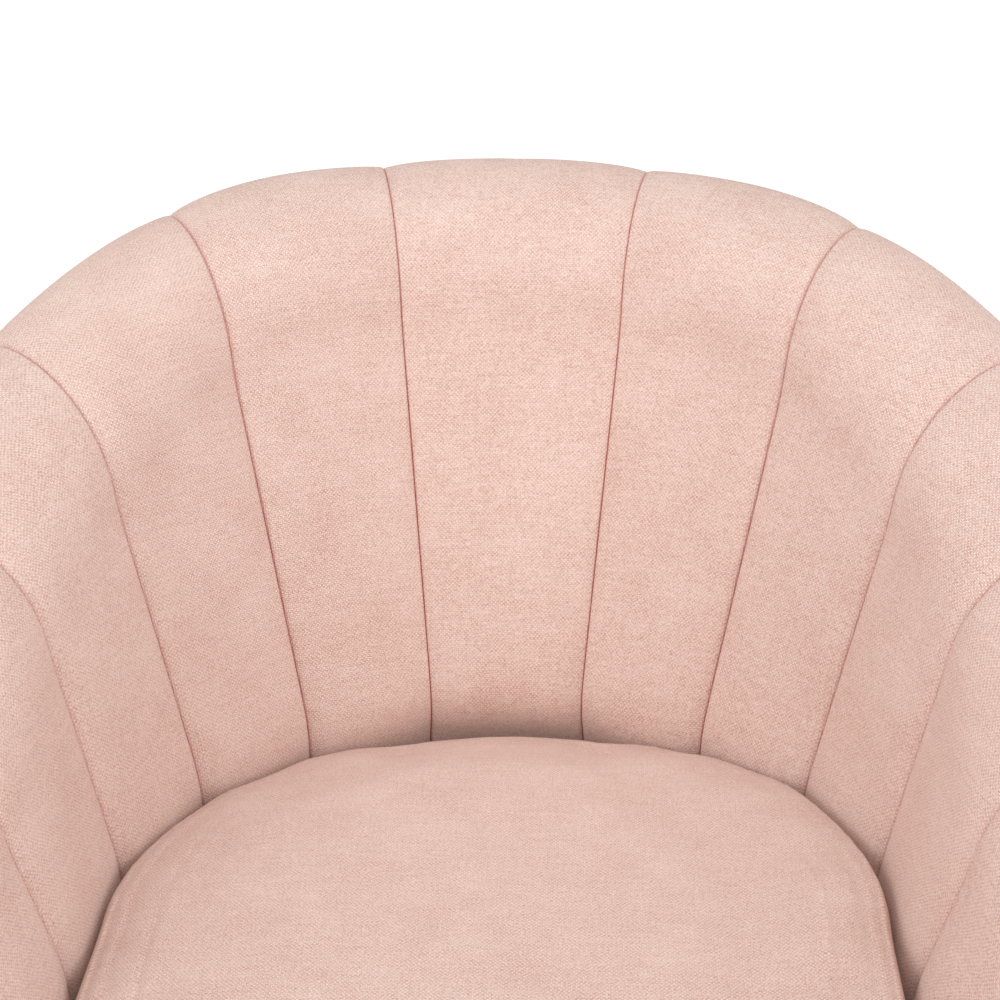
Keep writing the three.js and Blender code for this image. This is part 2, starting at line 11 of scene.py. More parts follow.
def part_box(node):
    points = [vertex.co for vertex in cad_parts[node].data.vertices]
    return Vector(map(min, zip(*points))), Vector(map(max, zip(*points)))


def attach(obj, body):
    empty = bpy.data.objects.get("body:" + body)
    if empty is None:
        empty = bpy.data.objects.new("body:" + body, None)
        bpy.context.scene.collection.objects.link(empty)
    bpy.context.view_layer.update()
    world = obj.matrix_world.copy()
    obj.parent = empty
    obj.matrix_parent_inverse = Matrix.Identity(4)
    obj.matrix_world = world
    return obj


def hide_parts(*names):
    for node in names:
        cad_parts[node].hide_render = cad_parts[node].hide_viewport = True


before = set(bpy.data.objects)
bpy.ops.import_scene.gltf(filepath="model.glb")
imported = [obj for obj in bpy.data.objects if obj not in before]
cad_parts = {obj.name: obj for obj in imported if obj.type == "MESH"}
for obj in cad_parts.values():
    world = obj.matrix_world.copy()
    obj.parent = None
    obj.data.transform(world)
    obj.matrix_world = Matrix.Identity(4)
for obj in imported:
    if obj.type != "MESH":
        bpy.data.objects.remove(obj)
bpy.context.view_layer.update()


def add_object(name, data):
    obj = bpy.data.objects.new(name, data)
    bpy.context.scene.collection.objects.link(obj)
    return obj


# ------------------------------------------------------------------ camera
CAMERA_PLACE = Vector((0.0503, -0.9927, 1.1918))
CAMERA_HEADING = math.radians(-2.68)  # clockwise from +Y
CAMERA_PITCH = math.radians(-26.26)
CAMERA_ROLL = math.radians(-0.37)
CAMERA_LENS = 68.4
SENSOR = 36.0


def make_camera():
    data = bpy.data.cameras.new("camera")
    data.lens = CAMERA_LENS
    data.sensor_width = SENSOR
    camera = add_object("camera", data)
    forward = Vector((
        math.sin(CAMERA_HEADING) * math.cos(CAMERA_PITCH),
        math.cos(CAMERA_HEADING) * math.cos(CAMERA_PITCH),
        math.sin(CAMERA_PITCH),
    ))
    level = forward.cross(Vector((0, 0, 1))).normalized()
    upright = level.cross(forward)
    right = level * math.cos(CAMERA_ROLL) + upright * math.sin(CAMERA_ROLL)
    up = right.cross(forward)
    turn = Matrix((right, up, -forward)).transposed().to_4x4()
    camera.matrix_world = Matrix.Translation(CAMERA_PLACE) @ turn
    bpy.context.scene.camera = camera


make_camera()

# ------------------------------------------------------------------ the tub's form, as in the CAD
# Angles go round the tub from the middle of the back, in degrees. Past 90 they stand for lengths along an arm.
TUB_Y = -0.088
SEAT_R = 0.245
ARM_LENGTH = 0.26
ARM_END = 90 + math.degrees(ARM_LENGTH / SEAT_R)
SEAT_LINE = 0.450
CREST_TOP = 0.799
CREST_DROP = 0.213
BACK_LEAN, ARM_LEAN = 0.119, 0.0245
BACK_ROLL, ARM_ROLL = 0.082, 0.105
ROLL_HEIGHT = 0.088
OUTER_ROLL = 0.045
OUTER_ROLL_HEIGHT = 0.060
ROLL_LIP = 0.012
OUTER_SKIN = 0.012
CREST_PAD = 0.030
WALL_PAD = 0.045
DECK_LOW = 0.320
HEM_Z = 0.060
HEM_SIDE, HEM_BACK = 0.331, 0.366
OUTER_BULGE = 0.008
SHOULDER_RIGHT, SHOULDER_LEFT, SHOULDER_ANGLE, SHOULDER_REACH = 0.009, 0.014, 31, 17
CENTRE_ANGLE = 24.8
BACK_ANGLE = 21.16
ARM_ANGLE = (ARM_END - CENTRE_ANGLE / 2 - 3 * BACK_ANGLE) / 3


def mix(a, b, t):
    return a + (b - a) * t


def side_share(angle):
    return math.sin(math.radians(min(abs(angle), 90))) ** 2


def wall_top(angle):
    return SEAT_R + mix(BACK_LEAN, ARM_LEAN, side_share(angle))


def crest_r(angle):
    return wall_top(angle) + mix(BACK_ROLL, ARM_ROLL, side_share(angle))


def crest_z(angle):
    return CREST_TOP - CREST_DROP * (1 - math.cos(math.pi * angle / ARM_END)) / 2


def pad_crest_z(angle):
    """The stuffed crest: fuller than the frame line on the shoulders of the back."""
    shoulder = SHOULDER_LEFT if angle < 0 else SHOULDER_RIGHT
    return crest_z(angle) + shoulder * math.exp(-(((abs(angle) - SHOULDER_ANGLE) / SHOULDER_REACH) ** 2))


def lip_z(angle):
    return crest_z(angle) - OUTER_ROLL_HEIGHT - ROLL_LIP


def outer_r(angle, share):
    hem = mix(HEM_BACK, HEM_SIDE, side_share(angle))
    return mix(hem, crest_r(angle) + OUTER_ROLL, share) + OUTER_BULGE * math.sin(math.pi * share)


def plan(angle, r):
    """x and y of a radius, or of a row of radii, at one angle round the tub."""
    turned = abs(angle)
    if turned <= 90:
        return r * math.sin(math.radians(angle)), r * math.cos(math.radians(angle)) + TUB_Y
    return math.copysign(1, angle) * r, r * 0 - math.radians(turned - 90) * SEAT_R + TUB_Y


def stand(angle, section):
    """A section's (radius, height) rows as points in space, at one angle round the tub."""
    x, y = plan(angle, section[:, 0])
    return np.stack([x, y, section[:, 1]], 1)


def arc(centre, size, start, end, count):
    """Points of an elliptic arc, start and end in degrees."""
    a = np.radians(np.linspace(start, end, count))
    return np.stack([centre[0] + size[0] * np.cos(a), centre[1] + size[1] * np.sin(a)], 1)


def roll_arcs(inner, crest, top):
    """The roll over the top edge in section, from the wall up to the crest and down to the outer side."""
    return [
        arc((crest, top - ROLL_HEIGHT), (crest - inner, ROLL_HEIGHT), 180, 90, 24),
        arc((crest, top - OUTER_ROLL_HEIGHT), (OUTER_ROLL, OUTER_ROLL_HEIGHT), 85, 0, 18),
    ]


def distances(points):
    """The distance along a polyline to each of its points."""
    return np.concatenate([[0], np.cumsum(np.linalg.norm(np.diff(points, axis=0), axis=1))])


def even(points, count):
    run = distances(points)
    at = np.linspace(0, run[-1], count)
    return np.stack([np.interp(at, run, points[:, i]) for i in range(points.shape[1])], 1)


def resample(points, count, smooth):
    """The open polyline at even steps, after rounding its corners over a length of about smooth."""
    step = 0.002
    fine = even(points, max(8, int(distances(points)[-1] / step)))
    reach = int(3 * smooth / step)
    weight = np.exp(-0.5 * (np.arange(-reach, reach + 1) * step / smooth) ** 2)
    weight /= weight.sum()
    head = 2 * fine[0] - fine[1:reach + 1][::-1]
    tail = 2 * fine[-1] - fine[-reach - 1:-1][::-1]
    wide = np.concatenate([head, fine, tail])
    fine = np.stack([np.convolve(wide[:, i], weight, "valid") for i in range(2)], 1)
    return even(fine, count)


# ------------------------------------------------------------------ mesh building
def add_mesh(name, verts, faces, material=None, smooth_angle=None):
    mesh = bpy.data.meshes.new(name)
    mesh.from_pydata([tuple(v) for v in verts], [], [tuple(int(i) for i in f) for f in faces])
    mesh.validate()
    obj = add_object(name, mesh)
    if material:
        mesh.materials.append(material)
    mesh.shade_smooth()
    if smooth_angle:
        mesh.set_sharp_from_angle(angle=math.radians(smooth_angle))
    return obj


@contextmanager
def editing(mesh):
    """The mesh opened for editing, and written back at the end."""
    bm = bmesh.new()
    bm.from_mesh(mesh)
    yield bm
    bm.to_mesh(mesh)
    bm.free()


def soften(obj, angle):
    """Smooth shading, with edges sharper than an angle in degrees kept sharp."""
    obj.data.shade_smooth()
    obj.data.set_sharp_from_angle(angle=math.radians(angle))


def flipped(faces):
    """The same faces seen from the other side, each from the same first corner."""
    return [(face[0],) + face[:0:-1] for face in faces]


def ring_faces(rows, count):
    """Faces between closed rings of count points each, one ring after another."""
    faces = []
    for row in range(rows - 1):
        for i in range(count):
            a, b = row * count + i, row * count + (i + 1) % count
            faces.append((a, b, b + count, a + count))
    return faces


def closed_loft(name, loops, material, smooth_angle=None):
    """A closed body through loops with equal point counts, counter-clockwise seen from the last one."""
    count = len(loops[0])
    total = count * len(loops)
    caps = [tuple(range(count))[::-1], tuple(range(total - count, total))]
    return add_mesh(name, np.concatenate(loops), ring_faces(len(loops), count) + caps, material, smooth_angle)


def shell_faces(columns, rows):
    """Faces of a closed shell: a grid of points column by column, then the same grid again for its far side."""
    shift = columns * rows
    faces = []
    for c in range(columns - 1):
        for i in range(rows - 1):
            a, b = c * rows + i, (c + 1) * rows + i
            faces.append((a, a + 1, b + 1, b))
            faces.append((shift + a, shift + b, shift + b + 1, shift + a + 1))
        for i in (0, rows - 1):
            a, b = c * rows + i, (c + 1) * rows + i
            quad = (a, b, shift + b, shift + a)
            faces.append(quad if i == 0 else quad[::-1])
    for c in (0, columns - 1):
        for a in range(c * rows, (c + 1) * rows - 1):
            quad = (a, shift + a, shift + a + 1, a + 1)
            faces.append(quad if c == 0 else quad[::-1])
    return faces


def places(mesh):
    co = np.empty(len(mesh.vertices) * 3)
    mesh.vertices.foreach_get("co", co)
    return co.reshape(-1, 3)


def normals(mesh):
    out = np.empty(len(mesh.vertices) * 3)
    mesh.vertices.foreach_get("normal", out)
    return out.reshape(-1, 3)


def move_to(mesh, co):
    mesh.vertices.foreach_set("co", co.ravel())
    mesh.update()


def apply_modifiers(obj):
    graph = bpy.context.evaluated_depsgraph_get()
    mesh = bpy.data.meshes.new_from_object(obj.evaluated_get(graph))
    obj.modifiers.clear()
    old = obj.data
    obj.data = mesh
    bpy.data.meshes.remove(old)


# ------------------------------------------------------------------ cloth directions
def set_weave(obj, coordinates):
    """Stores each vertex's place on its own piece of cloth, in metres along and across the threads."""
    layer = obj.data.attributes.new("weave", "FLOAT_VECTOR", "POINT")
    layer.data.foreach_set("vector", np.asarray(coordinates, np.float32).ravel())


def set_corner_weave(obj, place_of):
    """The same for each face corner, so that panels meet at their seams. place_of takes a face and a vertex."""
    mesh = obj.data
    values = np.zeros((len(mesh.loops), 3), np.float32)
    for face in mesh.polygons:
        for loop in face.loop_indices:
            values[loop] = place_of(face, mesh.loops[loop].vertex_index)
    mesh.attributes.new("weave", "FLOAT_VECTOR", "CORNER").data.foreach_set("vector", values.ravel())


def box_weave(obj, seed, top_across_x=True):
    """Cloth directions by which way each face looks."""
    co = places(obj.data)

    def place_of(face, vertex):
        n = face.normal
        x, y, z = co[vertex]
        if abs(n.z) > max(abs(n.x), abs(n.y)):
            return (x, y, seed) if top_across_x else (y, x, seed)
        return (y, z, seed + 0.4) if abs(n.x) > abs(n.y) else (x, z, seed + 0.8)

    set_corner_weave(obj, place_of)


# ------------------------------------------------------------------ materials
def three(value):
    return (value, value, value)


class Material:
    """A new material with short calls for its nodes. They take numbers, colours or sockets, and return a socket."""

    def __init__(self, name):
        self.material = bpy.data.materials.new(name)
        self.material.use_nodes = True
        self.tree = self.material.node_tree

    def put(self, node, values):
        for socket, value in values.items():
            entry = node.inputs[socket]
            if isinstance(value, bpy.types.NodeSocket):
                self.tree.links.new(value, entry)
            else:
                entry.default_value = (*value, 1) if entry.type == "RGBA" else value

    def node(self, kind, values=None, **settings):
        node = self.tree.nodes.new("ShaderNode" + kind)
        for name, value in settings.items():
            setattr(node, name, value)
        self.put(node, values or {})
        return node

    def finish(self, **values):
        """Fills in the surface's inputs, whose names have underscores for spaces here, and gives the material."""
        surface = self.tree.nodes["Principled BSDF"]
        self.put(surface, {name.replace("_", " "): value for name, value in values.items()})
        return self.material

    def math(self, operation, a, b=0.0):
        return self.node("Math", {0: a, 1: b}, operation=operation).outputs[0]

    def add(self, total, *others):
        for other in others:
            total = self.math("ADD", total, other)
        return total

    def times(self, a, b):
        return self.math("MULTIPLY", a, b)

    def vector(self, operation, a, b):
        return self.node("VectorMath", {0: a, 1: b}, operation=operation).outputs[0]

    def split(self, vector):
        return self.node("SeparateXYZ", {0: vector}).outputs

    def join(self, x, y, z):
        return self.node("CombineXYZ", {0: x, 1: y, 2: z}).outputs[0]

    def attribute(self, name, output):
        return self.node("Attribute", attribute_name=name).outputs[output]

    def noise(self, place, detail=2.0, roughness=0.5):
        values = {"Vector": place, "Scale": 1.0, "Detail": detail, "Roughness": roughness}
        return self.node("TexNoise", values).outputs[0]

    def place(self, scale):
        """The place on the piece, times a scale for each axis."""
        return self.vector("MULTIPLY", self.node("TexCoord").outputs["Object"], scale)

    def mix(self, share, a, b):
        return self.node("Mix", {0: share, 6: a, 7: b}, data_type="RGBA").outputs[2]

    def span(self, value, low, high, to_low=0.0, to_high=1.0):
        return self.node("MapRange", {0: value, 1: low, 2: high, 3: to_low, 4: to_high}).outputs[0]

    def bump(self, height, strength, distance):
        return self.node("Bump", {"Height": height, "Strength": strength, "Distance": distance}).outputs[0]


CLOTH_ROUGHNESS = 0.85
YARN_DRIFT = 2.2  # how far the yarns wander, in pitches
SEAM_SHADE_TINT = (0.95, 0.42, 0.36)  # what the dark yarns' colour is multiplied by for the painted shade down in a seam


def weave_material(name, light, middle, dark, pitch, depth, sheen):
    """Plain-woven cloth: two sets of uneven yarns over and under each other, slubs, fibres and soft mottling.
    The colour is painted darker and redder down in the channels' seams, a painted shade. The yarns' pitch and the
    bump's depth are in millimetres."""
    m = Material(name)
    x, y, piece = m.split(m.vector("MULTIPLY", m.attribute("weave", "Vector"), three(1000)))

    def patches(x_scale, y_scale, seed=0.0, detail=2.0, roughness=0.5):
        spot = m.join(m.times(x, x_scale), m.times(y, y_scale), m.add(piece, seed))
        return m.noise(spot, detail, roughness)

    def wave(distance):
        return m.math("SINE", m.times(distance, math.pi / pitch))

    drift_x = patches(0.05, 0.14)
    drift_y = patches(0.14, 0.05, 3.1)
    x = m.add(x, m.times(drift_x, YARN_DRIFT * pitch))
    y = m.add(y, m.times(drift_y, YARN_DRIFT * pitch))
    crossing = m.times(wave(x), wave(y))
    warp_over = m.span(crossing, -0.4, 0.4)
    round_yarn = m.math("POWER", m.math("ABSOLUTE", crossing), 0.6)
    warp = patches(0.85 / pitch, 0.05, roughness=0.7)
    weft = patches(0.05, 0.85 / pitch, 7.3, roughness=0.7)
    warp_dash = patches(0.95 / pitch, 0.30, 1.7, detail=1.0)
    weft_dash = patches(0.30, 0.95 / pitch, 4.9, detail=1.0)
    fibre = patches(0.75, 0.75, roughness=0.8)
    cloud = patches(0.022, 0.022, detail=3.0)
    over_tone = m.add(m.times(warp, 0.60), m.times(warp_dash, 0.60), 0.15)
    under_tone = m.add(m.times(weft, 0.85), m.times(weft_dash, 0.65), -0.35)
    tone = m.add(m.times(warp_over, over_tone), m.times(m.math("SUBTRACT", 1.0, warp_over), under_tone))
    tone = m.add(m.times(tone, 0.62), m.times(fibre, 0.90), m.times(round_yarn, 0.12), m.times(cloud, 0.22))
    tone = m.span(tone, 0.66, 1.22)
    low = m.mix(m.span(tone, 0.0, 0.5), dark, middle)
    colour = m.mix(m.span(tone, 0.5, 1.0), low, light)
    # painted shade: the seam colour, the dark yarns made darker and redder
    painted_seam_shade_colour = tuple(c * k for c, k in zip(dark, SEAM_SHADE_TINT))
    height = m.add(round_yarn, m.times(fibre, 0.9), m.times(m.add(warp, weft), 0.4))
    return m.finish(
        # painted shade: the colour is drawn towards the dark seam colour by the mesh's seam shade attribute
        Base_Color=m.mix(m.times(m.attribute("painted_seam_shade", "Fac"), 0.9), colour, painted_seam_shade_colour),
        Normal=m.bump(height, 0.8, depth / 1000),
        Roughness=m.span(fibre, 0.3, 0.7, CLOTH_ROUGHNESS - 0.08, CLOTH_ROUGHNESS + 0.08),
        Sheen_Weight=sheen,
        Sheen_Roughness=0.5,
        Sheen_Tint=(1.0, 0.9, 0.86),
        Specular_IOR_Level=0.25,
    )


def coated_steel():
    """Black powder coat: a fine orange peel, thin scuffs, and a little dust on what faces up."""
    m = Material("black_powder_coat")
    peel = m.noise(m.place(three(900)), detail=1.0)
    scuff = m.noise(m.place((60, 340, 60)), detail=4.0, roughness=0.75)
    dusty = m.span(m.noise(m.place(three(25)), detail=4.0), 0.35, 0.75, 0.0, 0.25)
    up = m.split(m.node("NewGeometry").outputs["Normal"])[2]
    dust = m.times(m.span(up, 0.5, 1.0), dusty)
    colour = m.mix(m.span(scuff, 0.66, 0.80), (0.016, 0.016, 0.018), (0.085, 0.083, 0.080))
    return m.finish(
        Base_Color=m.mix(dust, colour, (0.22, 0.20, 0.18)),
        Roughness=m.add(m.span(scuff, 0.3, 0.8, 0.36, 0.50), m.times(dust, 0.6)),
        Normal=m.bump(peel, 0.25, 0.0002),
    )


def zinc_steel():
    """Zinc plate: bright, with the faint yellow and blue of its passivation and turning marks."""
    m = Material("zinc_plate")
    cloud = m.noise(m.place(three(45)), detail=3.0)
    marks = m.noise(m.place((1400, 90, 90)))
    tint = m.mix(cloud, (0.60, 0.585, 0.53), (0.54, 0.57, 0.60))
    return m.finish(
        Base_Color=m.mix(m.span(marks, 0.4, 0.8, 0.0, 0.35), tint, three(0.36)),
        Roughness=m.span(m.add(cloud, marks), 0.6, 1.4, 0.26, 0.46),
        Normal=m.bump(marks, 0.2, 0.0001),
        Metallic=1.0,
    )


def spring_steel():
    m = Material("oiled_spring_steel")
    cloud = m.noise(m.place(three(120)), detail=3.0)
    return m.finish(
        Base_Color=m.mix(cloud, (0.10, 0.095, 0.09), (0.23, 0.215, 0.20)),
        Roughness=m.span(cloud, 0.3, 0.7, 0.30, 0.48),
        Metallic=1.0,
    )


def hardwood(name, stretch):
    """Planed hardwood: long grain, growth rings and pores, drawn out along the piece."""
    m = Material(name)
    place = m.place(stretch)
    bend = m.noise(m.vector("MULTIPLY", place, three(0.5)))
    bent = m.vector("ADD", m.vector("MULTIPLY", place, three(3)), m.join(bend, bend, bend))
    grain = m.noise(bent, detail=5.0, roughness=0.65)
    rings = m.math("SINE", m.times(m.add(grain, bend), 26.0))
    pores = m.noise(m.vector("MULTIPLY", place, three(22)), roughness=0.8)
    base = m.mix(m.span(rings, -1, 1), (0.46, 0.285, 0.15), (0.60, 0.41, 0.24))
    return m.finish(
        Base_Color=m.mix(m.span(pores, 0.60, 0.72, 0.0, 0.6), base, (0.22, 0.12, 0.06)),
        Roughness=m.span(grain, 0.3, 0.7, 0.48, 0.66),
        Normal=m.bump(m.math("SUBTRACT", grain, pores), 0.35, 0.0004),
    )


def moulded(name, light, dark, roughness, grain_scale):
    """Moulded rubber or nylon: a fine mould grain, soft marks and dust."""
    m = Material(name)
    cloud = m.noise(m.place(three(70)), detail=4.0)
    grain = m.noise(m.place(three(grain_scale)))
    return m.finish(
        Base_Color=m.mix(m.span(cloud, 0.35, 0.7), dark, light),
        Roughness=m.span(grain, 0.3, 0.7, roughness - 0.1, roughness + 0.1),
        Normal=m.bump(grain, 0.3, 0.00025),
    )


LINEN = weave_material("blush_linen", (0.95, 0.765, 0.69), (0.82, 0.580, 0.498), (0.64, 0.350, 0.288),
                       pitch=1.4, depth=0.5, sheen=0.25)
DECK_CLOTH = weave_material("deck_cotton", (0.62, 0.52, 0.46), (0.50, 0.40, 0.345), (0.36, 0.275, 0.23),
                            pitch=0.9, depth=0.25, sheen=0.1)
DUST_CLOTH = weave_material("dust_cambric", (0.060, 0.060, 0.064), (0.035, 0.035, 0.038), (0.018, 0.018, 0.020),
                            pitch=1.1, depth=0.25, sheen=0.1)
COATED = coated_steel()
ZINC = zinc_steel()
SPRING = spring_steel()
WOOD_X = hardwood("beech_along_width", (9, 90, 90))
WOOD_Y = hardwood("beech_along_depth", (90, 9, 90))
WOOD_Z = hardwood("beech_upright", (90, 90, 9))
RUBBER = moulded("black_rubber", (0.045, 0.043, 0.042), (0.022, 0.021, 0.021), 0.72, 1200)
NYLON = moulded("white_nylon", (0.62, 0.60, 0.56), (0.46, 0.44, 0.40), 0.42, 900)


def dress(obj, body, slot, *nodes):
    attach(obj, body)
    if nodes:
        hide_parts(*nodes)


# ------------------------------------------------------------------ channels
FACE_COUNT = 130  # points along a section of the padding
COLUMNS = 41  # sections across one channel
TUCK, TUCK_SPREAD = 0.021, 24  # the back's padding turns in under its own swell, the arms' doesn't
TUCK_PROFILE = ((1, DECK_LOW), (1, 0.415), (0.75, 0.433), (0.25, 0.452))  # share of the tuck, height
TUCK_END = (0.003, 0.470)  # radius beyond the seat's, height
CROWN = 0.0030
SHOULDER_DROP = 0.0040
CLEFT = 0.0016
SEAM_DEPTH = 0.0018
PAD_GAP = 0.02  # degrees from a pad's edge to the seam line
SLUMP = 0.6  # how much fuller a channel is on the side away from the middle of the back
LUMP, LUMPS_PER_METRE = 0.0007, 11
WIDE_SEAM_SHADE, NARROW_SEAM_SHADE = (0.06, 3), (0.014, 1)  # reach of the painted seam shade over the channel, and its sharpness


def padded_face(angle):
    """One section of the padding's outer face: under the cushion, up the wall, over the roll, to the lip."""
    crest = crest_r(angle)
    tuck = TUCK * math.exp(-((angle / TUCK_SPREAD) ** 2))
    points = np.concatenate([
        [[SEAT_R + tuck * share, z] for share, z in TUCK_PROFILE],
        [[SEAT_R + TUCK_END[0], TUCK_END[1]]],
        *roll_arcs(wall_top(angle), crest, pad_crest_z(angle)),
        [[crest + OUTER_ROLL, lip_z(angle)]],
    ])
    return resample(points, FACE_COUNT, 0.011)


def padded_back(angle):
    """The hidden side of the same padding, from under the cushion to the lip."""
    crest = crest_r(angle)
    top = crest_z(angle)
    wall = crest - wall_top(angle) - WALL_PAD
    skin = OUTER_ROLL - OUTER_SKIN
    points = np.concatenate([
        [[SEAT_R + WALL_PAD, DECK_LOW], [SEAT_R + WALL_PAD, SEAT_LINE]],
        arc((crest, top - ROLL_HEIGHT), (wall, ROLL_HEIGHT - CREST_PAD), 180, 95, 8),
        arc((crest, top - OUTER_ROLL_HEIGHT), (skin, OUTER_ROLL_HEIGHT - CREST_PAD), 85, 0, 8),
        [[crest + skin, lip_z(angle)]],
    ])
    return even(points, FACE_COUNT)


def stuffed_section(angle, u, side):
    """The section at one angle, swelled by the channel's stuffing. u runs from -1 to 1 across the channel, and
    side says which of its seams is away from the middle of the back. Also gives the distance along the section
    and how full the stuffing is at each point."""
    face = padded_face(angle)
    tangent = np.gradient(face, axis=0)
    tangent /= np.linalg.norm(tangent, axis=1)[:, None]
    out = np.stack([-tangent[:, 1], tangent[:, 0]], 1)
    along = distances(face)
    share = along / along[-1]
    fullness = 1 - 0.45 * np.clip((share - 0.45) / 0.25, 0, 1)  # less over the crest and on the outer side
    held = 1 - np.clip((share - 0.93) / 0.07, 0, 1) ** 2  # none at the lip, where the cover is sewn down
    slump = 1 + SLUMP * u * side
    soft = CROWN * (1 - u * u) + SHOULDER_DROP * slump * (1 - abs(u) ** 7)
    cleft = CLEFT * max(0.0, 1 - abs(u) ** 24) ** 0.5
    puff = ((soft + cleft) * fullness - SEAM_DEPTH * slump) * held
    face = face + out * puff[:, None]
    for i, place in enumerate(stand(angle, face)):
        lump = noise.noise(Vector(place) * LUMPS_PER_METRE) * LUMP * (1 - u ** 4) * held[i]
        face[i] += out[i] * lump
    return face, along, fullness


def make_channel(name, low, high):
    side = np.sign(round(low + high, 3))
    low += PAD_GAP
    high -= PAD_GAP
    half_angle = math.radians(high - low) / 2
    front, back, weave, groove = [], [], [], []
    for u in np.sin(np.linspace(-1, 1, COLUMNS) * math.pi / 2):
        angle = mix(low, high, (u + 1) / 2)
        face, along, fullness = stuffed_section(angle, u, side)
        front.append(stand(angle, face))
        back.append(stand(angle, padded_back(angle)))
        radius = np.maximum(face[:, 0], 0.2) if abs(low + high) < 180 else SEAT_R
        across = u * (radius * half_angle) * np.ones(FACE_COUNT)
        weave.append(np.stack([across, along, np.full(FACE_COUNT, low * 0.37)], 1))
        # painted shade: how much the colour darkens near each seam, wider on the slumped side, weaker over the
        # crest, none at the arm ends
        reach, sharpness = WIDE_SEAM_SHADE if u * side > 0 else NARROW_SEAM_SHADE
        sewn = 1 if abs(angle) < ARM_END - 1 else 0
        groove.append(max(0.0, (abs(u) - 1 + reach) / reach) ** sharpness * (0.25 + 0.75 * fullness) * sewn)
    obj = add_mesh(name, np.concatenate(front + back), shell_faces(COLUMNS, FACE_COUNT), LINEN, 50)
    set_weave(obj, np.concatenate(weave * 2))
    # this attribute carries the painted seam shade; the hidden back of the channel gets the full painted shade
    layer = obj.data.attributes.new("painted_seam_shade", "FLOAT", "POINT")
    layer.data.foreach_set("value", np.concatenate(groove + [np.ones(COLUMNS * FACE_COUNT)]))
    return obj


def make_channels():
    seams = [-CENTRE_ANGLE / 2, CENTRE_ANGLE / 2]
    for i in range(6):
        seams.append(seams[-1] + (BACK_ANGLE if i < 3 else ARM_ANGLE))
    spans = {"channel_centre": (seams[0], seams[1])}
    for i in range(1, 7):
        low, high = seams[i], seams[i + 1]
        spans[f"channel_left_{i}"] = (-high, -low)
        spans[f"channel_right_{i}"] = (low, high)
    for name, (low, high) in spans.items():
        obj = make_channel("pad_" + name, low, high)
        dress(obj, "seat", "upholstery", name)


make_channels()

# ------------------------------------------------------------------ seat cushion
CUSHION_R = 0.238
CUSHION_LOW = 0.335
CUSHION_FRONT = 0.297
CUSHION_BOW = 0.014
CUSHION_CORNER = 0.055
CUSHION_POINTS = 160
CUSHION_LEVELS = (  # rise from the underside, inset from the outline
    (0.002, 0.012), (0.010, 0.003), (0.022, -0.004), (0.094, -0.007), (0.108, -0.003),
    (0.118, 0.006), (0.125, 0.022), (0.130, 0.055), (0.134, 0.120),
)
BORDER_LOW, BORDER_HIGH = 0.352, 0.408  # heights of the border's two seams
BORDER_SEAM_DEPTH, BORDER_SEAM_REACH = 0.0026, 0.0045
STUFF_VOXEL = 0.006
STUFF_FRAMES = 20
STUFF_PRESSURE = 4.0
STUFF_STIFFNESS = 25
STUFF_CALM = 10  # rounds of smoothing
STUFF_CAP = 0.010  # the furthest that the stuffing moves a point
CUSHION_REACH = 0.2415  # it is squeezed a little between the arms
CROWN_INSET = (0.0, 0.004, 0.010, 0.020, 0.040, 0.080, 0.130)
CROWN_Z = (0.444, 0.452, 0.4575, 0.463, 0.469, 0.4745, 0.478)
EDGE_LOW, EDGE_LIFT, EDGE_TILT = -0.0195, 0.0340, 0.0120  # low at the back, higher at the arms, most on the right
EDGE_INSET, EDGE_EASE = 0.09, 0.20  # the edge's rise fades over these, inwards and towards the front
LID_Z, LID_FRONT = 0.42, 0.09  # what counts as the top: above this height, this far from the front
UNDERSIDE_RISE = 0.0006  # the stuffed underside is flattened this far above the CAD's


def cushion_outline(inset):
    """The cushion's plan, drawn in by an inset: round at the back, straight sides, a bowed front."""
    half = CUSHION_R - inset
    front = -(CUSHION_FRONT - CUSHION_BOW - inset)
    corner = min(CUSHION_CORNER, half - 0.02)
    xs = np.linspace(corner - half, half - corner, 24)
    points = np.concatenate([
        arc((0, 0), (half, half), 0, 180, 60),
        arc((corner - half, front + corner), (corner, corner), 180, 262, 12),
        np.stack([xs, front - CUSHION_BOW * np.cos(xs / half * math.pi / 2 * 0.8)], 1),
        arc((half - corner, front + corner), (corner, corner), 278, 360, 12),
    ])
    return even(np.concatenate([points, points[:1]]), CUSHION_POINTS + 1)[:-1] + (0, TUB_Y)


def level(flat, z):
    """A plan loop lifted to a height, or to one height for each point."""
    return np.column_stack([flat, np.zeros(len(flat)) + z])


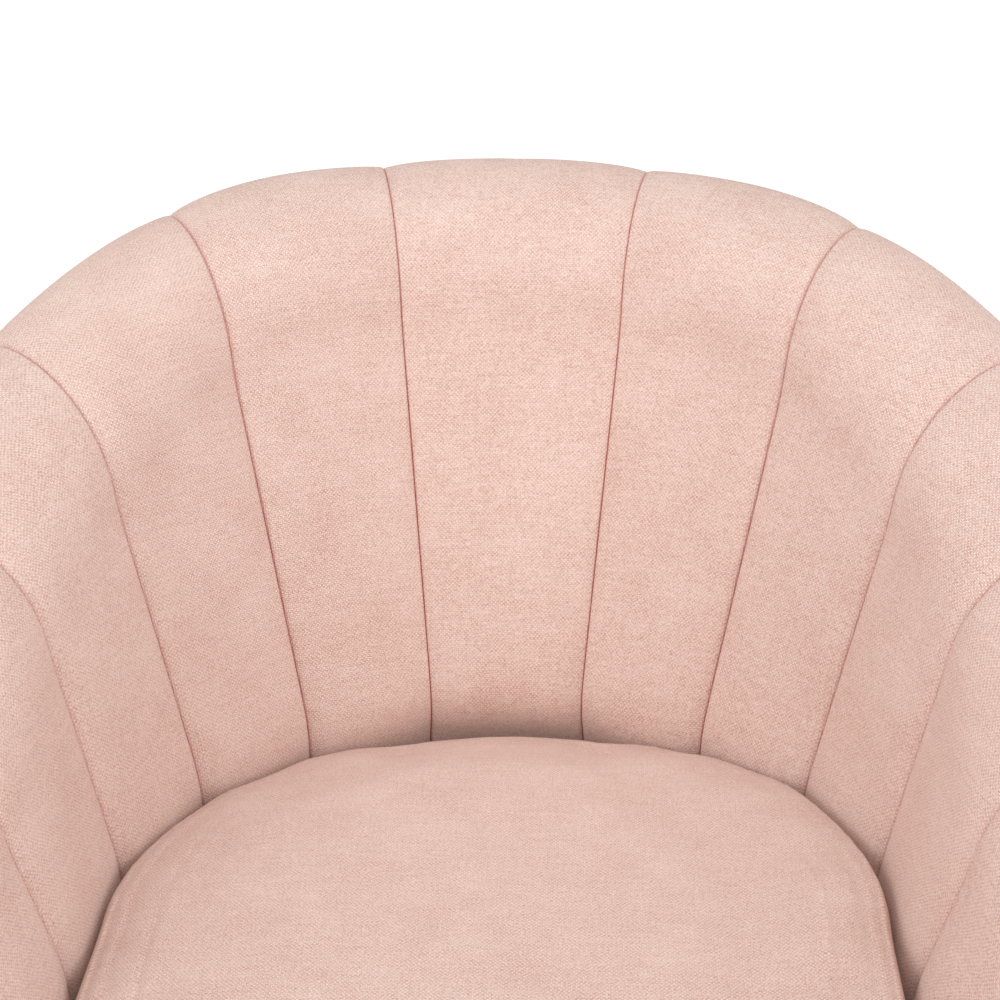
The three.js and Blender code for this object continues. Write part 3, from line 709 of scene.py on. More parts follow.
def stuff(obj):
    """Fills a closed shape by cloth simulation under pressure. The moves are smoothed, and none passes the cap."""
    remesh = obj.modifiers.new("remesh", "REMESH")
    remesh.mode = "VOXEL"
    remesh.voxel_size = STUFF_VOXEL
    apply_modifiers(obj)
    start = places(obj.data)
    cloth = obj.modifiers.new("cloth", "CLOTH")
    settings = cloth.settings
    settings.use_pressure = True
    settings.uniform_pressure_force = STUFF_PRESSURE
    settings.effector_weights.gravity = 0
    settings.quality = 5
    settings.tension_stiffness = settings.compression_stiffness = STUFF_STIFFNESS
    cloth.collision_settings.use_collision = False
    cloth.point_cache.frame_end = STUFF_FRAMES
    for step in range(1, STUFF_FRAMES + 1):
        bpy.context.scene.frame_set(step)
    apply_modifiers(obj)
    bpy.context.scene.frame_set(1)
    move = places(obj.data) - start
    pairs = np.array([e.vertices[:] for e in obj.data.edges])
    degree = np.bincount(pairs.ravel(), minlength=len(start))[:, None]
    for _ in range(STUFF_CALM):
        total = np.zeros_like(move)
        np.add.at(total, pairs[:, 0], move[pairs[:, 1]])
        np.add.at(total, pairs[:, 1], move[pairs[:, 0]])
        move = mix(move, total / degree, 0.7)
    reach = np.linalg.norm(move, axis=1) + 1e-9
    move *= (STUFF_CAP * np.tanh(reach / STUFF_CAP) / reach)[:, None]
    move_to(obj.data, start + move)


def reach_of(flat):
    """How far points lie out from the tub's middle: by radius at the back, by width along the sides."""
    return np.where(flat[:, 1] > 0, np.hypot(flat[:, 0], flat[:, 1]), np.abs(flat[:, 0]))


def mean_heights(inset, z):
    """The mean height of the points in each narrow band of inset, as band middles and means."""
    middles, means = [], []
    bands = np.linspace(0, 0.14, 29)
    for low, high in zip(bands, bands[1:]):
        inside = (inset >= low) & (inset < high)
        if inside.any():
            middles.append((high + low) / 2)
            means.append(z[inside].mean())
    return middles, means


def fit_cushion(obj):
    """Presses the stuffed cushion flat on the deck and out to the arms, keeping the swell of its cloth."""
    co = places(obj.data)
    flat = co[:, :2] - (0, TUB_Y)
    flat *= CUSHION_REACH / reach_of(flat).max()
    inset = CUSHION_REACH - reach_of(flat)
    front = flat[:, 1] - flat[:, 1].min()
    lid = (co[:, 2] > LID_Z) & (normals(obj.data)[:, 2] > 0.25) & (front > LID_FRONT)
    mean = np.interp(inset, *mean_heights(inset[lid], co[lid, 2]))
    goal = np.interp(inset, CROWN_INSET, CROWN_Z)
    sideways = flat[:, 0] / np.maximum(np.hypot(flat[:, 0], np.maximum(flat[:, 1], 0)), 0.01)
    rise = EDGE_LOW + EDGE_LIFT * np.abs(sideways) ** 1.6 + EDGE_TILT * sideways
    settle = np.clip(front / EDGE_EASE, 0, 1)
    goal += rise * np.clip(1 - inset / EDGE_INSET, 0, 1) * settle * settle * (3 - 2 * settle)
    share = np.clip((co[:, 2] - 0.395) / 0.03, 0, 1) * np.clip((front - 0.02) / 0.07, 0, 1)
    co[:, 2] += (goal - mean) * share
    co[:, 2] = np.maximum(co[:, 2], CUSHION_LOW + UNDERSIDE_RISE)
    co[:, :2] = flat + (0, TUB_Y)
    move_to(obj.data, co)


def press_seam(obj, height):
    """Presses in a level seam: five new rings of edges round the cushion, the middle one drawn in furthest."""
    with editing(obj.data) as bm:
        for share in (-1, -0.5, 0, 0.5, 1):
            bmesh.ops.bisect_plane(
                bm, geom=bm.verts[:] + bm.edges[:] + bm.faces[:], dist=1e-6,
                plane_co=(0, 0, height + share * BORDER_SEAM_REACH), plane_no=(0, 0, 1),
            )
        bm.normal_update()
        for v in bm.verts:
            near = abs(v.co.z - height)
            flat = Vector((v.normal.x, v.normal.y, 0))
            if near < BORDER_SEAM_REACH * 0.99 and flat.length > 0.5:
                v.co -= flat.normalized() * BORDER_SEAM_DEPTH * (1 - near / BORDER_SEAM_REACH) ** 1.5


def cushion_weave(obj):
    """The top and underside run with the seat, unrolled over their rims, and the border band runs round the edge."""
    co = places(obj.data)
    run_y = co[:, 1] - TUB_Y
    turn = np.arctan2(co[:, 0], run_y)
    round_back = np.where(run_y > 0, turn * CUSHION_R, np.sign(co[:, 0]) * (CUSHION_R * math.pi / 2 - run_y))
    drop = np.where(co[:, 2] > BORDER_HIGH, CROWN_Z[-1] - co[:, 2], co[:, 2] - CUSHION_LOW)
    spread = co[:, :2] + normals(obj.data)[:, :2] * drop[:, None]

    def place_of(face, vertex):
        centre = face.center
        if not BORDER_LOW < centre.z < BORDER_HIGH:
            return (spread[vertex, 0], spread[vertex, 1], 5.0)
        ahead = abs(face.normal.y) > abs(face.normal.x) and centre.y < TUB_Y
        return (co[vertex, 0] if ahead else round_back[vertex], co[vertex, 2], 5.5)

    set_corner_weave(obj, place_of)


def make_cushion():
    loops = [level(cushion_outline(inset), CUSHION_LOW + rise) for rise, inset in CUSHION_LEVELS]
    cushion = closed_loft("cushion_cover", loops, LINEN)
    stuff(cushion)
    fit_cushion(cushion)
    modifier = cushion.modifiers.new("subdivision", "SUBSURF")
    modifier.levels = modifier.render_levels = 1
    apply_modifiers(cushion)
    for height in (BORDER_LOW, BORDER_HIGH):
        press_seam(cushion, height)
    soften(cushion, 70)
    cushion_weave(cushion)
    dress(cushion, "cushion", "upholstery", "seat_cushion")


make_cushion()

# ------------------------------------------------------------------ outer panels
PANEL = 0.008
PANEL_EDGE = 0.0045  # radius of a panel's folded edges
PANEL_ROWS = 90
PANEL_GAP = 0.06  # degrees from a panel's edge to the seam line
PANEL_LIP_GAP = 0.0015
PANEL_SWELL = 0.0012
PANEL_EDGE_R, PANEL_CLOTH_R = 0.33, 0.40  # radii that turn angles into lengths, for the edges and for the cloth
OUTER_BACK_ANGLE = 62


def edge_fall(distance):
    """How far a folded edge drops below its face, at a distance from the edge."""
    d = np.clip(distance, 0, PANEL_EDGE)
    return PANEL_EDGE - np.sqrt(PANEL_EDGE ** 2 - (PANEL_EDGE - d) ** 2)


def crowded(count, share):
    """Steps from 0 to 1 that a share of crowding draws towards both ends."""
    return mix(np.linspace(0, 1, count), 0.5 - 0.5 * np.cos(np.linspace(0, math.pi, count)), share)


def make_outer_panel(name, low, high, columns):
    seed = low * 0.1
    turn = math.radians(abs(high - low))
    share = crowded(PANEL_ROWS, 0.5)
    outer, inner, weave = [], [], []
    for t in crowded(columns, 0.45):
        angle = mix(low + PANEL_GAP, high - PANEL_GAP, t)
        top = lip_z(angle) - PANEL_LIP_GAP
        z = mix(HEM_Z, top, share)
        r = np.array([outer_r(angle, v) for v in share])
        ends = min(t, 1 - t) * turn * PANEL_EDGE_R
        fall = np.maximum(edge_fall(np.minimum(z - HEM_Z, top - z)), edge_fall(ends))
        flat = stand(angle, np.stack([r, z], 1))
        swell = np.array([noise.noise(Vector((p[0] * 7, p[1] * 7, p[2] * 4 + seed))) for p in flat])
        face = r - fall + swell * PANEL_SWELL * np.clip(ends / 0.03, 0, 1)
        outer.append(stand(angle, np.stack([face, z], 1)))
        inner.append(stand(angle, np.stack([r - PANEL, z], 1)))
        across = np.full(PANEL_ROWS, (t - 0.5) * turn * PANEL_CLOTH_R)
        weave.append(np.stack([across, z, np.full(PANEL_ROWS, seed)], 1))
    obj = add_mesh(name, np.concatenate(outer + inner), flipped(shell_faces(columns, PANEL_ROWS)), LINEN, 60)
    set_weave(obj, np.concatenate(weave * 2))
    return obj


def make_outer():
    for name, low, high, columns in (
        ("outer_back", -OUTER_BACK_ANGLE, OUTER_BACK_ANGLE, 110),
        ("outer_side_left", -ARM_END, -OUTER_BACK_ANGLE, 80),
        ("outer_side_right", OUTER_BACK_ANGLE, ARM_END, 80),
    ):
        obj = make_outer_panel("cover_" + name, low, high, columns)
        dress(obj, "seat", "upholstery", name)


make_outer()

# ------------------------------------------------------------------ arm fronts and apron
ARM_FRONT_DEPTH = 0.060
ARM_FRONT_GAP = 0.0003
ARM_FRONT_FOOT = 0.004  # the outline's corners at the hem
ARM_FRONT_LUMP = 0.0009
FACING_SEAM = 0.93  # share of the depth at which the facing is sewn in
FACING_GROOVE, FACING_GROOVE_WIDTH = 0.0022, 0.006
FACING_DOME = 0.004
FACING_RINGS = (0.97, 0.9, 0.8, 0.65, 0.45, 0.25, 0.1)
TURN_IN_X, TURN_IN_Z = 0.35, 0.22  # how much the rounded front edge narrows the outline


def make_arm_front(side):
    crest = crest_r(ARM_END)
    outside = np.array([[outer_r(ARM_END, v), mix(HEM_Z, lip_z(ARM_END), v)] for v in np.linspace(1, 0, 30)])
    outline = resample(np.concatenate([
        [[SEAT_R, HEM_Z + ARM_FRONT_FOOT], [SEAT_R, SEAT_LINE]],
        *roll_arcs(wall_top(ARM_END), crest, crest_z(ARM_END)),
        outside[:-1],
        [[outside[-1][0], HEM_Z + ARM_FRONT_FOOT]],
    ]), 200, 0.006)
    feet = [[[outline[0][0] + ARM_FRONT_FOOT, HEM_Z]], [[outline[-1][0] - ARM_FRONT_FOOT, HEM_Z]]]
    outline = np.concatenate([feet[0], outline, feet[1]])
    heart_x, heart_z = SEAT_R + WALL_PAD, SEAT_LINE
    centre_x = (outline[:, 0].min() + outline[:, 0].max()) / 2
    above = outline[:, 1] > heart_z
    loops = []
    for s in np.concatenate([[0.0], 0.5 - 0.5 * np.cos(np.linspace(0.25, math.pi, 40))]):
        turned = 1 - math.sqrt(1 - (0.97 * s) ** 2)
        groove = FACING_GROOVE * math.exp(-((s - FACING_SEAM) / FACING_GROOVE_WIDTH) ** 2)
        x = heart_x + (outline[:, 0] - heart_x) * (1 - TURN_IN_X * turned)
        x = x + np.sign(centre_x - x) * groove
        y = np.full(len(x), -ARM_LENGTH - ARM_FRONT_GAP - ARM_FRONT_DEPTH * s)
        z = np.where(above, heart_z + (outline[:, 1] - heart_z) * (1 - TURN_IN_Z * turned), outline[:, 1])
        loops.append(np.stack([x, y, z], 1))
    edge = loops[-1]
    hub_x = heart_x + (centre_x - heart_x) * 0.735
    for k in FACING_RINGS:
        x = hub_x + (edge[:, 0] - hub_x) * k
        y = edge[:, 1] - FACING_DOME * math.sqrt(1 - k * k)
        z = np.where(above, heart_z + (edge[:, 2] - heart_z) * mix(0.93, 1, k), edge[:, 2])
        loops.append(np.stack([x, y, z], 1))
    loops = [(loop * (side, 1, 1) + (0, TUB_Y, 0))[::side] for loop in loops]
    name = "arm_front_left" if side < 0 else "arm_front_right"
    obj = closed_loft("cover_" + name, loops, LINEN)
    with editing(obj.data) as bm:
        bmesh.ops.recalc_face_normals(bm, faces=bm.faces)
        for v in bm.verts:
            v.co += v.normal * noise.noise(v.co * 9) * ARM_FRONT_LUMP
    soften(obj, 50)
    box_weave(obj, side * 0.9, top_across_x=False)
    dress(obj, "seat", "upholstery", name)


for side in (-1, 1):
    make_arm_front(side)


APRON_ROUND = 0.012
APRON_BULGE = 0.002
APRON_CUTS = (90, 14, 50)


def make_apron():
    """A cushioned block: a fine box whose edges are rounded and whose front and back swell a little."""
    low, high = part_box("front_apron")
    centre, half = (low + high) / 2, (high - low) / 2
    core = Vector([h - APRON_ROUND for h in half])
    obj = add_object("cover_front_apron", bpy.data.meshes.new("cover_front_apron"))
    with editing(obj.data) as bm:
        bmesh.ops.create_cube(bm, size=1)
        for axis, cuts in enumerate(APRON_CUTS):
            edges = [e for e in bm.edges if abs((e.verts[0].co - e.verts[1].co).normalized()[axis]) > 0.99]
            bmesh.ops.subdivide_edges(bm, edges=edges, cuts=cuts, use_grid_fill=True)
        for v in bm.verts:
            unit = v.co * 2
            eased = Vector([math.copysign(abs(c) ** 0.8, c) if c else 0.0 for c in unit])
            place = Vector([e * h for e, h in zip(eased, half)])
            inside = Vector([max(-c, min(c, p)) for p, c in zip(place, core)])
            rest = place - inside
            if rest.length > 1e-9:
                place = inside + rest.normalized() * min(APRON_ROUND, max(abs(r) for r in rest))
            swell = (1 - unit.x ** 4) * (1 - unit.z ** 4)
            place.y += math.copysign(1, unit.y) * APRON_BULGE * swell * abs(unit.y)
            v.co = centre + place
        bmesh.ops.recalc_face_normals(bm, faces=bm.faces)
    obj.data.shade_smooth()
    obj.data.materials.append(LINEN)
    box_weave(obj, 2.2)
    dress(obj, "seat", "upholstery", "front_apron")


make_apron()

# ------------------------------------------------------------------ seat deck and dust cover
PLAN_D_POINTS = 220
PLAN_D_CORNER = 0.02
HEART = np.array([0, TUB_Y])  # the middle of the tub, in plan
DECK_HIGH = 0.334
DECK_GAP = 0.0002  # the quilted top stays this far below the CAD's
QUILT_PITCH, QUILT_WIDTH, QUILT_DEPTH, QUILT_DEEPEST = 0.075, 0.006, 0.0028, 0.0035
DUST_HALF, DUST_BACK, DUST_FRONT = 0.284, 0.310, -0.245
DUST_Z = 0.2490
DUST_SAG, DUST_RIPPLE = 0.004, 0.0012


def plan_d(radius, back, front):
    """A D in plan, counter-clockwise from its front right corner."""
    corner = PLAN_D_CORNER
    points = np.concatenate([
        [[radius, front + corner]],
        arc((0, 0), (radius, back), 0, 180, 80),
        arc((corner - radius, front + corner), (corner, corner), 180, 270, 8),
        arc((radius - corner, front + corner), (corner, corner), 270, 360, 8),
    ])
    return even(points, PLAN_D_POINTS + 1)[:-1] + HEART


def shrunk(edge, share):
    return HEART + (edge - HEART) * share


def quilting(run):
    """The pull of one direction of quilting, for points at a distance across its lines."""
    off = np.abs(np.mod(run / QUILT_PITCH + 0.5, 1) - 0.5) * QUILT_PITCH
    return np.exp(-(off / QUILT_WIDTH) ** 2)


def make_deck():
    edge = plan_d(SEAT_R - 0.002, SEAT_R - 0.002, -ARM_LENGTH + 0.012)
    loops = [level(shrunk(edge, k), DECK_LOW) for k in (0.3, 0.6, 0.9, 0.985)]
    loops += [level(edge, z) for z in (DECK_LOW + 0.004, (DECK_LOW + DECK_HIGH) / 2)]
    for k in [1 - 0.0015, 0.992, 0.98] + list(np.linspace(0.965, 0.02, 64)):
        flat = shrunk(edge, k)
        drop = 0.006 * (1 - min(1, (1 - k) / 0.03)) ** 2
        pull = quilting(flat[:, 0] + flat[:, 1]) + quilting(flat[:, 0] - flat[:, 1])
        quilt = np.minimum(QUILT_DEPTH * pull * min(1, (1 - k) / 0.05), QUILT_DEEPEST)
        loops.append(level(flat, DECK_HIGH - DECK_GAP - drop - quilt))
    obj = closed_loft("deck_pad", loops, DECK_CLOTH)
    box_weave(obj, 3.1)
    dress(obj, "seat", "deck_cloth", "seat_deck")


def make_dust_cover():
    edge = plan_d(DUST_HALF, DUST_BACK, DUST_FRONT)
    loops = []
    for k in np.linspace(1, 0.01, 46):
        flat = shrunk(edge, k)
        ripple = np.array([noise.noise(Vector((x * 14, y * 14, 0.0))) for x, y in flat])
        ripple = ripple * DUST_RIPPLE * min(1, (1 - k) * 8)
        loops.append(level(flat, DUST_Z - DUST_SAG * (1 - k * k) ** 0.7 + ripple))
    faces = flipped(ring_faces(len(loops), PLAN_D_POINTS))
    total = len(loops) * PLAN_D_POINTS
    faces.append(tuple(range(total - PLAN_D_POINTS, total))[::-1])
    obj = add_mesh("dust_cloth", np.concatenate(loops), faces, DUST_CLOTH)
    box_weave(obj, 4.0)
    dress(obj, "seat", "dust_cloth", "dust_cover")


make_deck()
make_dust_cover()


# ------------------------------------------------------------------ hard pieces: tools
AXES = {  # where a turned piece's x, y and height go
    "Z": lambda v: v,
    "X": lambda v: (v[2], v[0], v[1]),
    "-X": lambda v: (-v[2], -v[0], v[1]),
}


def refine(node, name, body, slot, material, bevel):
    """A finer copy of a CAD node: true flats, rounded edges and smooth barrels."""
    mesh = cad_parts[node].data.copy()
    mesh.materials.clear()
    mesh.materials.append(material)
    obj = add_object(name, mesh)
    with editing(mesh) as bm:
        bmesh.ops.remove_doubles(bm, verts=bm.verts, dist=1e-5)
        bmesh.ops.dissolve_limit(bm, angle_limit=math.radians(1.5), verts=bm.verts, edges=bm.edges)
    modifier = obj.modifiers.new("bevel", "BEVEL")
    modifier.width = bevel
    modifier.segments = 3
    modifier.limit_method = "ANGLE"
    modifier.angle_limit = math.radians(33)
    apply_modifiers(obj)
    soften(obj, 40)
    dress(obj, body, slot, node)


def lathe(name, profile, material, centre, axis="Z", segments=96):
    """A turned piece: profile is (radius, height), from the axis round to the axis again."""
    verts, rings = [], []
    for r, h in profile:
        steps = segments if r > 1e-6 else 1
        rings.append(range(len(verts), len(verts) + steps))
        for i in range(steps):
            a = 2 * math.pi * i / segments
            verts.append((r * math.cos(a), r * math.sin(a), h))
    faces = []
    for low, high in zip(rings, rings[1:]):
        for i in range(segments):
            j = (i + 1) % segments
            if len(low) == 1:
                faces.append((low[0], high[j], high[i]))
            elif len(high) == 1:
                faces.append((low[i], low[j], high[0]))
            else:
                faces.append((low[i], low[j], high[j], high[i]))
    verts = [Vector(AXES[axis](v)) + Vector(centre) for v in verts]
    return add_mesh(name, verts, faces, material, 35)


def rounded_profile(corners, radius, steps=5):
    """Rounds the corners of an open profile whose first and last points lie on the axis."""
    points = [corners[0]]
    for a, b, c in zip(corners, corners[1:], corners[2:]):
        a, b, c = (np.array(p, float) for p in (a, b, c))
        cut = min(radius, np.linalg.norm(a - b) * 0.45, np.linalg.norm(c - b) * 0.45)
        start = b + (a - b) / np.linalg.norm(a - b) * cut
        end = b + (c - b) / np.linalg.norm(c - b) * cut
        for t in np.linspace(0, 1, steps):
            points.append(tuple((1 - t) ** 2 * start + 2 * t * (1 - t) * b + t * t * end))
    points.append(corners[-1])
    return points


def join(name, objs):
    """Several new meshes as one piece."""
    bpy.ops.object.select_all(action="DESELECT")
    for obj in objs:
        obj.select_set(True)
    bpy.context.view_layer.objects.active = objs[0]
    bpy.ops.object.join()
    objs[0].name = name
    return objs[0]


def tube(name, points, radius, material, sides):
    """A round bar along a row of points, of one radius or of one for each point."""
    points = [Vector(p) for p in points]
    turns = [2 * math.pi * k / sides for k in range(sides)]
    normal = None
    loops = []
    for i, (p, r) in enumerate(zip(points, np.broadcast_to(radius, len(points)).tolist())):
        along = (points[min(i + 1, len(points) - 1)] - points[max(i - 1, 0)]).normalized()
        if normal is None:
            normal = along.orthogonal().normalized()
        normal = (normal - along * normal.dot(along)).normalized()
        other = along.cross(normal)
        loops.append([p + (normal * math.cos(a) + other * math.sin(a)) * r for a in turns])
    return closed_loft(name, loops, material, 50)


# ------------------------------------------------------------------ base
RING_R = 0.240
RING_W = 0.032
RING_INSIDE = RING_R - RING_W / 2
HUB_R = 0.060
BAR_W = 0.044
BASE_TOP = 0.031
WELD_LOW, WELD_HIGH = 0.014, 0.030  # the upright weld runs
WELD_STEP = 0.0012
GLIDE_FOOT = [(0, 0.0004), (0.013, 0.0), (0.018, 0.003), (0.018, 0.0095), (0, 0.0095)]


def weld_bead(points, seed):
    """A short run of overlapping weld ripples."""
    points = np.array(points, float)
    fine = even(points, max(12, int(distances(points)[-1] / WELD_STEP)))
    radii = [
        0.0024 + 0.0005 * math.sin(i * 1.9) + 0.0004 * noise.noise(Vector((i * 0.3, seed, 0)))
        for i in range(len(fine))
    ]
    return tube("weld", fine, radii, COATED, 8)


def make_base():
    refine("base_frame", "base_weldment", "base", "black_steel", COATED, 0.0016)
    beads = []
    for quarter in range(4):
        turn = Matrix.Rotation(math.pi / 2 * quarter, 3, "Z")
        side, inner = BAR_W / 2, RING_INSIDE + 0.001
        foot = inner - 0.002
        for line in (
            [(inner, -side, BASE_TOP), (inner, side, BASE_TOP)],
            [(HUB_R, -side, BASE_TOP), (HUB_R + 0.001, 0, BASE_TOP), (HUB_R, side, BASE_TOP)],
            [(foot, side, WELD_LOW), (foot, side, WELD_HIGH)],
            [(foot, -side, WELD_LOW), (foot, -side, WELD_HIGH)],
        ):
            beads.append(weld_bead([turn @ Vector(p) for p in line], quarter * 3.7))
    dress(join("base_welds", beads), "base", "black_steel")
    for name, (x, y) in {"front": (0, -1), "right": (1, 0), "rear": (0, 1), "left": (-1, 0)}.items():
        profile = rounded_profile(GLIDE_FOOT, 0.0016)
        foot = lathe("glide_foot_" + name, profile, NYLON, (x * RING_R, y * RING_R, 0))
        dress(foot, "base", "nylon", "floor_glide_" + name)


make_base()

# ------------------------------------------------------------------ swivel and glide
RACE_BORE, RACE_RIM = 0.040, 0.105
TRACK_IN, TRACK_OUT, TRACK_SINK = 0.064, 0.086, 0.0016  # the pressed ball track
RACE_CHAMFER, RACE_SPLIT = 0.002, 0.0008
KINGPIN = [  # washer under the hub, shank, riveted head
    (0, 0.0036), (0.019, 0.0036), (0.019, 0.0096), (0.012, 0.0098), (0.012, 0.0623), (0.024, 0.0623),
    (0.024, 0.068), (0.012, 0.068), (0.0115, 0.0722), (0, 0.0735),
]
BOLT_ACROSS, BOLT_HEIGHT, BOLT_CHAMFER = 0.013, 0.0055, 0.0012
WASHER_R, WASHER_THICK = 0.011, 0.0016
PIN_R, PIN_HEAD_R = 0.0059, 0.010
PIN_HEAD, AXLE_HEAD = 0.0034, 0.0036  # thickness
AXLE_Y, AXLE_Z, AXLE_HALF = 0.1, 0.225, 0.170
LOWER_PIN_Z = 0.095
PLATE_BOLT_X, PLATE_BOLT_Y, PLATE_BOLT_Z = 0.131, 0.095, 0.0673
HANGER_BOLT_X, HANGER_BOLT_Y, HANGER_BOLT_Z = 0.187, 0.130, 0.2425


def hex_bolt(centre, upside_down=False):
    """A hexagon head with a chamfered top on a round washer, its seat at the centre point."""
    washer = [(0, 0), (WASHER_R, 0), (WASHER_R, WASHER_THICK), (0, WASHER_THICK)]
    bolt = lathe("bolt", rounded_profile(washer, 0.0005, 3), ZINC, (0, 0, 0), segments=32)
    corner = BOLT_ACROSS / 2 / math.cos(math.pi / 6)
    turns = [math.pi / 3 * i for i in range(6)]
    head = closed_loft("bolt_head", [
        [(radius * math.cos(a), radius * math.sin(a), z) for a in turns]
        for z, radius in ((WASHER_THICK, corner), (BOLT_HEIGHT - BOLT_CHAMFER, corner), (BOLT_HEIGHT, corner * 0.86))
    ], ZINC, 20)
    join("bolt", [bolt, head])
    if upside_down:
        bolt.data.transform(Matrix.Rotation(math.pi, 4, "X"))
    bolt.data.transform(Matrix.Translation(centre))
    return bolt


def make_race(name, node, body):
    low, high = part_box(node)
    z0, z1 = low.z, high.z
    middle = (z0 + z1) / 2
    profile = [
        (RACE_BORE, z0 + RACE_CHAMFER), (RACE_BORE + RACE_CHAMFER, z0),
        (RACE_RIM - RACE_CHAMFER, z0), (RACE_RIM, z0 + RACE_CHAMFER),
        (RACE_RIM, middle - RACE_SPLIT), (RACE_RIM - 0.0015, middle), (RACE_RIM, middle + RACE_SPLIT),
        (RACE_RIM, z1 - RACE_CHAMFER), (RACE_RIM - RACE_CHAMFER, z1),
        (TRACK_OUT, z1), (TRACK_OUT - 0.002, z1 - TRACK_SINK), (TRACK_IN + 0.002, z1 - TRACK_SINK), (TRACK_IN, z1),
        (RACE_BORE + RACE_CHAMFER, z1), (RACE_BORE, z1 - RACE_CHAMFER), (RACE_BORE, z0 + RACE_CHAMFER),
    ]
    obj = lathe(name, profile, ZINC, (0, 0, 0), segments=128)
    with editing(obj.data) as bm:
        bmesh.ops.remove_doubles(bm, verts=bm.verts, dist=1e-6)
        bmesh.ops.recalc_face_normals(bm, faces=bm.faces)
    dress(obj, body, "zinc_steel", node)


def turned_bar(name, node, body, low_x, high_x, y, z, thick):
    """A pin along x with a domed head at each end."""
    rim, dome = PIN_HEAD_R, PIN_HEAD_R * 0.75
    profile = [
        (0, low_x), (dome, low_x + 0.0002), (rim, low_x + 0.0012), (rim, low_x + thick), (PIN_R, low_x + thick),
        (PIN_R, high_x - thick), (rim, high_x - thick), (rim, high_x - 0.0012), (dome, high_x - 0.0002), (0, high_x),
    ]
    obj = lathe(name, rounded_profile(profile, 0.0006, 3), ZINC, (0, y, z), axis="X", segments=48)
    dress(obj, body, "zinc_steel", node)


def make_bumper(side, sign):
    """A rubber stop with a pressed ring in its outer face."""
    low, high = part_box("stop_bumper_" + side)
    near, far = (low.x, high.x) if sign > 0 else (-high.x, -low.x)
    radius = (high.z - low.z) / 2
    profile = rounded_profile([
        (0, near), (radius - 0.003, near), (radius, near + 0.004), (radius, far - 0.004), (radius - 0.004, far),
        (radius * 0.62, far), (radius * 0.58, far - 0.002), (radius * 0.34, far - 0.002), (radius * 0.30, far),
        (0, far),
    ], 0.0012, 4)
    centre = (0, 0, (low.z + high.z) / 2)
    bumper = lathe("bumper_" + side, profile, RUBBER, centre, axis="X" if sign > 0 else "-X", segments=72)
    dress(bumper, "carriage", "rubber", "stop_bumper_" + side)


def make_mechanism():
    make_race("swivel_race_lower", "swivel_lower_race", "base")
    make_race("swivel_race_upper", "swivel_upper_race", "carriage")
    pin = lathe("swivel_pin", rounded_profile(KINGPIN, 0.0012, 4), ZINC, (0, 0, 0))
    dress(pin, "base", "zinc_steel", "kingpin")
    refine("swivel_plate", "carriage_plate", "carriage", "black_steel", COATED, 0.0012)
    bolts = []
    for side, sign in (("left", -1), ("right", 1)):
        refine("side_plate_" + side, "carriage_side_" + side, "carriage", "black_steel", COATED, 0.0010)
        refine("seat_hanger_" + side, "hanger_" + side, "seat", "black_steel", COATED, 0.0010)
        bolts += [hex_bolt((sign * PLATE_BOLT_X, y, PLATE_BOLT_Z)) for y in (-PLATE_BOLT_Y, PLATE_BOLT_Y)]
        make_bumper(side, sign)
    dress(join("carriage_bolts", bolts), "carriage", "zinc_steel")
    bolts = []
    for x in (-HANGER_BOLT_X, HANGER_BOLT_X):
        for y in (-HANGER_BOLT_Y, 0.0, HANGER_BOLT_Y):
            bolts.append(hex_bolt((x, y, HANGER_BOLT_Z), upside_down=True))
    dress(join("hanger_bolts", bolts), "seat", "zinc_steel")
    for end, y in (("front", -AXLE_Y), ("rear", AXLE_Y)):
        turned_bar("axle_upper_" + end, "upper_axle_" + end, "carriage", -AXLE_HALF, AXLE_HALF, y, AXLE_Z, AXLE_HEAD)
        for side in ("left", "right"):
            place = end + "_" + side
            refine("glide_link_" + place, "link_arm_" + place, "link_" + place, "black_steel", COATED, 0.0009)
            low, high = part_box("lower_pin_" + place)
            turned_bar("pin_" + place, "lower_pin_" + place, "seat", low.x, high.x, y, LOWER_PIN_Z, PIN_HEAD)


make_mechanism()

# ------------------------------------------------------------------ springs, frame and staples
SPRING_X = (-0.110, 0.0, 0.110)
SPRING_FRONT, SPRING_BACK, SPRING_Z = -0.232, 0.223, 0.3181
SPRING_SWING, SPRING_PITCH, SPRING_WIRE = 0.020, 0.056, 0.0017
SPRING_SQUARE = 1.6  # how square the wave's turns are
STAPLE_Z, STAPLE_HALF, STAPLE_WIRE, STAPLE_STEP = 0.2482, 0.005, 0.0004, 0.03
STAPLE_LEG, STAPLE_SINK = 0.0012, 0.0002


def make_springs():
    ys = np.linspace(SPRING_FRONT, SPRING_BACK, 420)
    ease = np.clip(np.minimum(ys - SPRING_FRONT, SPRING_BACK - ys) / 0.02, 0, 1)
    wave = np.sin(2 * math.pi * ys / SPRING_PITCH)
    swing = np.tanh(SPRING_SQUARE * wave) / np.tanh(SPRING_SQUARE) * SPRING_SWING * (0.35 + 0.65 * ease)
    for i, x in enumerate(SPRING_X):
        points = [(x + s, y + TUB_Y, SPRING_Z) for s, y in zip(swing, ys)]
        wire = tube(f"sinuous_spring_{i + 1}", points, SPRING_WIRE, SPRING, 10)
        dress(wire, "seat", "spring_steel", f"seat_spring_{i + 1}")


def make_frame():
    for wood, nodes in (
        (WOOD_X, ("frame_top_rail", "frame_bottom_hoop", "seat_rail_front", "seat_rail_rear")),
        (WOOD_Y, ("seat_rail_left", "seat_rail_right")),
        (WOOD_Z, ("frame_post_left_1", "frame_post_left_2", "frame_post_right_1", "frame_post_right_2")),
    ):
        for node in nodes:
            refine(node, "wood_" + node, "seat", "hardwood", wood, 0.0018)


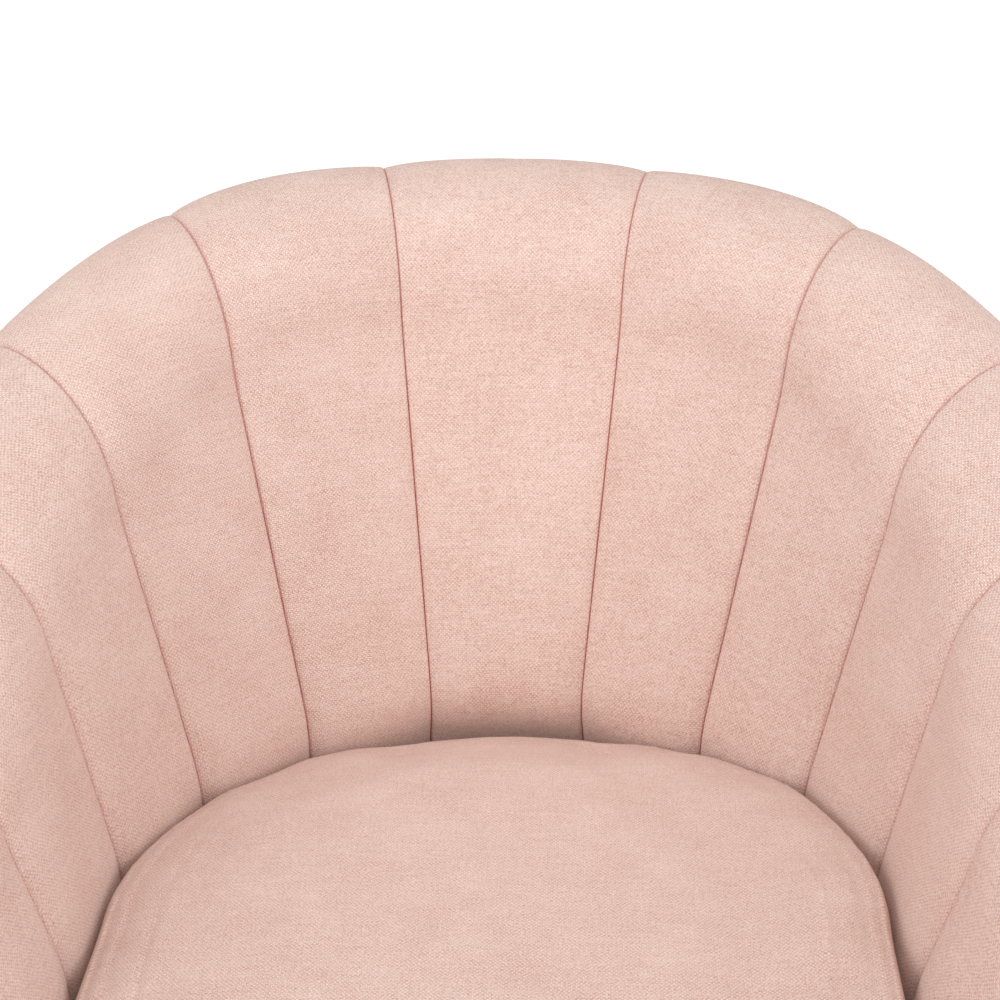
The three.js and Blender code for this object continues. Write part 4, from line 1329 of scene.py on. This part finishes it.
def make_staples():
    """The dust cloth's staples, under the seat rails."""
    rows = [(x, SPRING_FRONT, 0) for x in np.arange(-0.27, 0.271, STAPLE_STEP)]
    rows += [(x, SPRING_BACK, 0) for x in np.arange(-0.195, 0.196, STAPLE_STEP)]
    for x in (-0.2015, 0.2015):
        rows += [(x, y, 1) for y in np.arange(-0.20, 0.2, STAPLE_STEP)]
    staples = []
    for x, y, turned in rows:
        points = []
        for run, rise in ((-1, STAPLE_LEG), (-1, -STAPLE_SINK), (1, -STAPLE_SINK), (1, STAPLE_LEG)):
            run *= STAPLE_HALF
            points.append((x + (0 if turned else run), y + TUB_Y + (run if turned else 0), rise + STAPLE_Z))
        staples.append(tube("staple", points, STAPLE_WIRE, ZINC, 5))
    dress(join("dust_cloth_staples", staples), "seat", "zinc_steel")


make_springs()
make_frame()
make_staples()

# ------------------------------------------------------------------ light and floor
FLOOR_HALF = 60
FLOOR_GLOW = 0.50
WORLD_LIGHT = 0.54


def make_light(name, place, target, size, power):
    data = bpy.data.lights.new(name, "AREA")
    data.shape = "DISK"
    data.size = size
    data.energy = power
    obj = add_object(name, data)
    obj.location = place
    obj.rotation_euler = (Vector(target) - Vector(place)).to_track_quat("-Z", "Y").to_euler()


def make_floor():
    corners = [(x * FLOOR_HALF, y * FLOOR_HALF, 0) for x, y in ((-1, -1), (1, -1), (1, 1), (-1, 1))]
    m = Material("floor_paper")
    grain = m.noise(m.vector("MULTIPLY", m.node("NewGeometry").outputs["Position"], three(40)), detail=3.0)
    paper = m.finish(
        Base_Color=m.mix(grain, three(0.93), three(0.97)),
        Roughness=0.9,
        Emission_Color=three(1),
        Emission_Strength=FLOOR_GLOW,
    )
    add_mesh("floor", corners, [(0, 1, 2, 3)], paper)


def make_world():
    world = bpy.data.worlds.new("studio")
    bpy.context.scene.world = world
    world.use_nodes = True
    background = world.node_tree.nodes["Background"]
    background.inputs["Color"].default_value = (1, 1, 1, 1)
    background.inputs["Strength"].default_value = WORLD_LIGHT


make_floor()
make_world()
make_light("softbox_top", (0.1, -0.5, 3.2), (0, 0, 0.5), 2.6, 23)
make_light("softbox_left", (-2.4, -2.2, 2.2), (0, 0, 0.55), 2.2, 40)
make_light("softbox_right", (2.4, -2.2, 2.2), (0, 0, 0.55), 2.2, 37)
bpy.context.scene.view_settings.view_transform = "Standard"
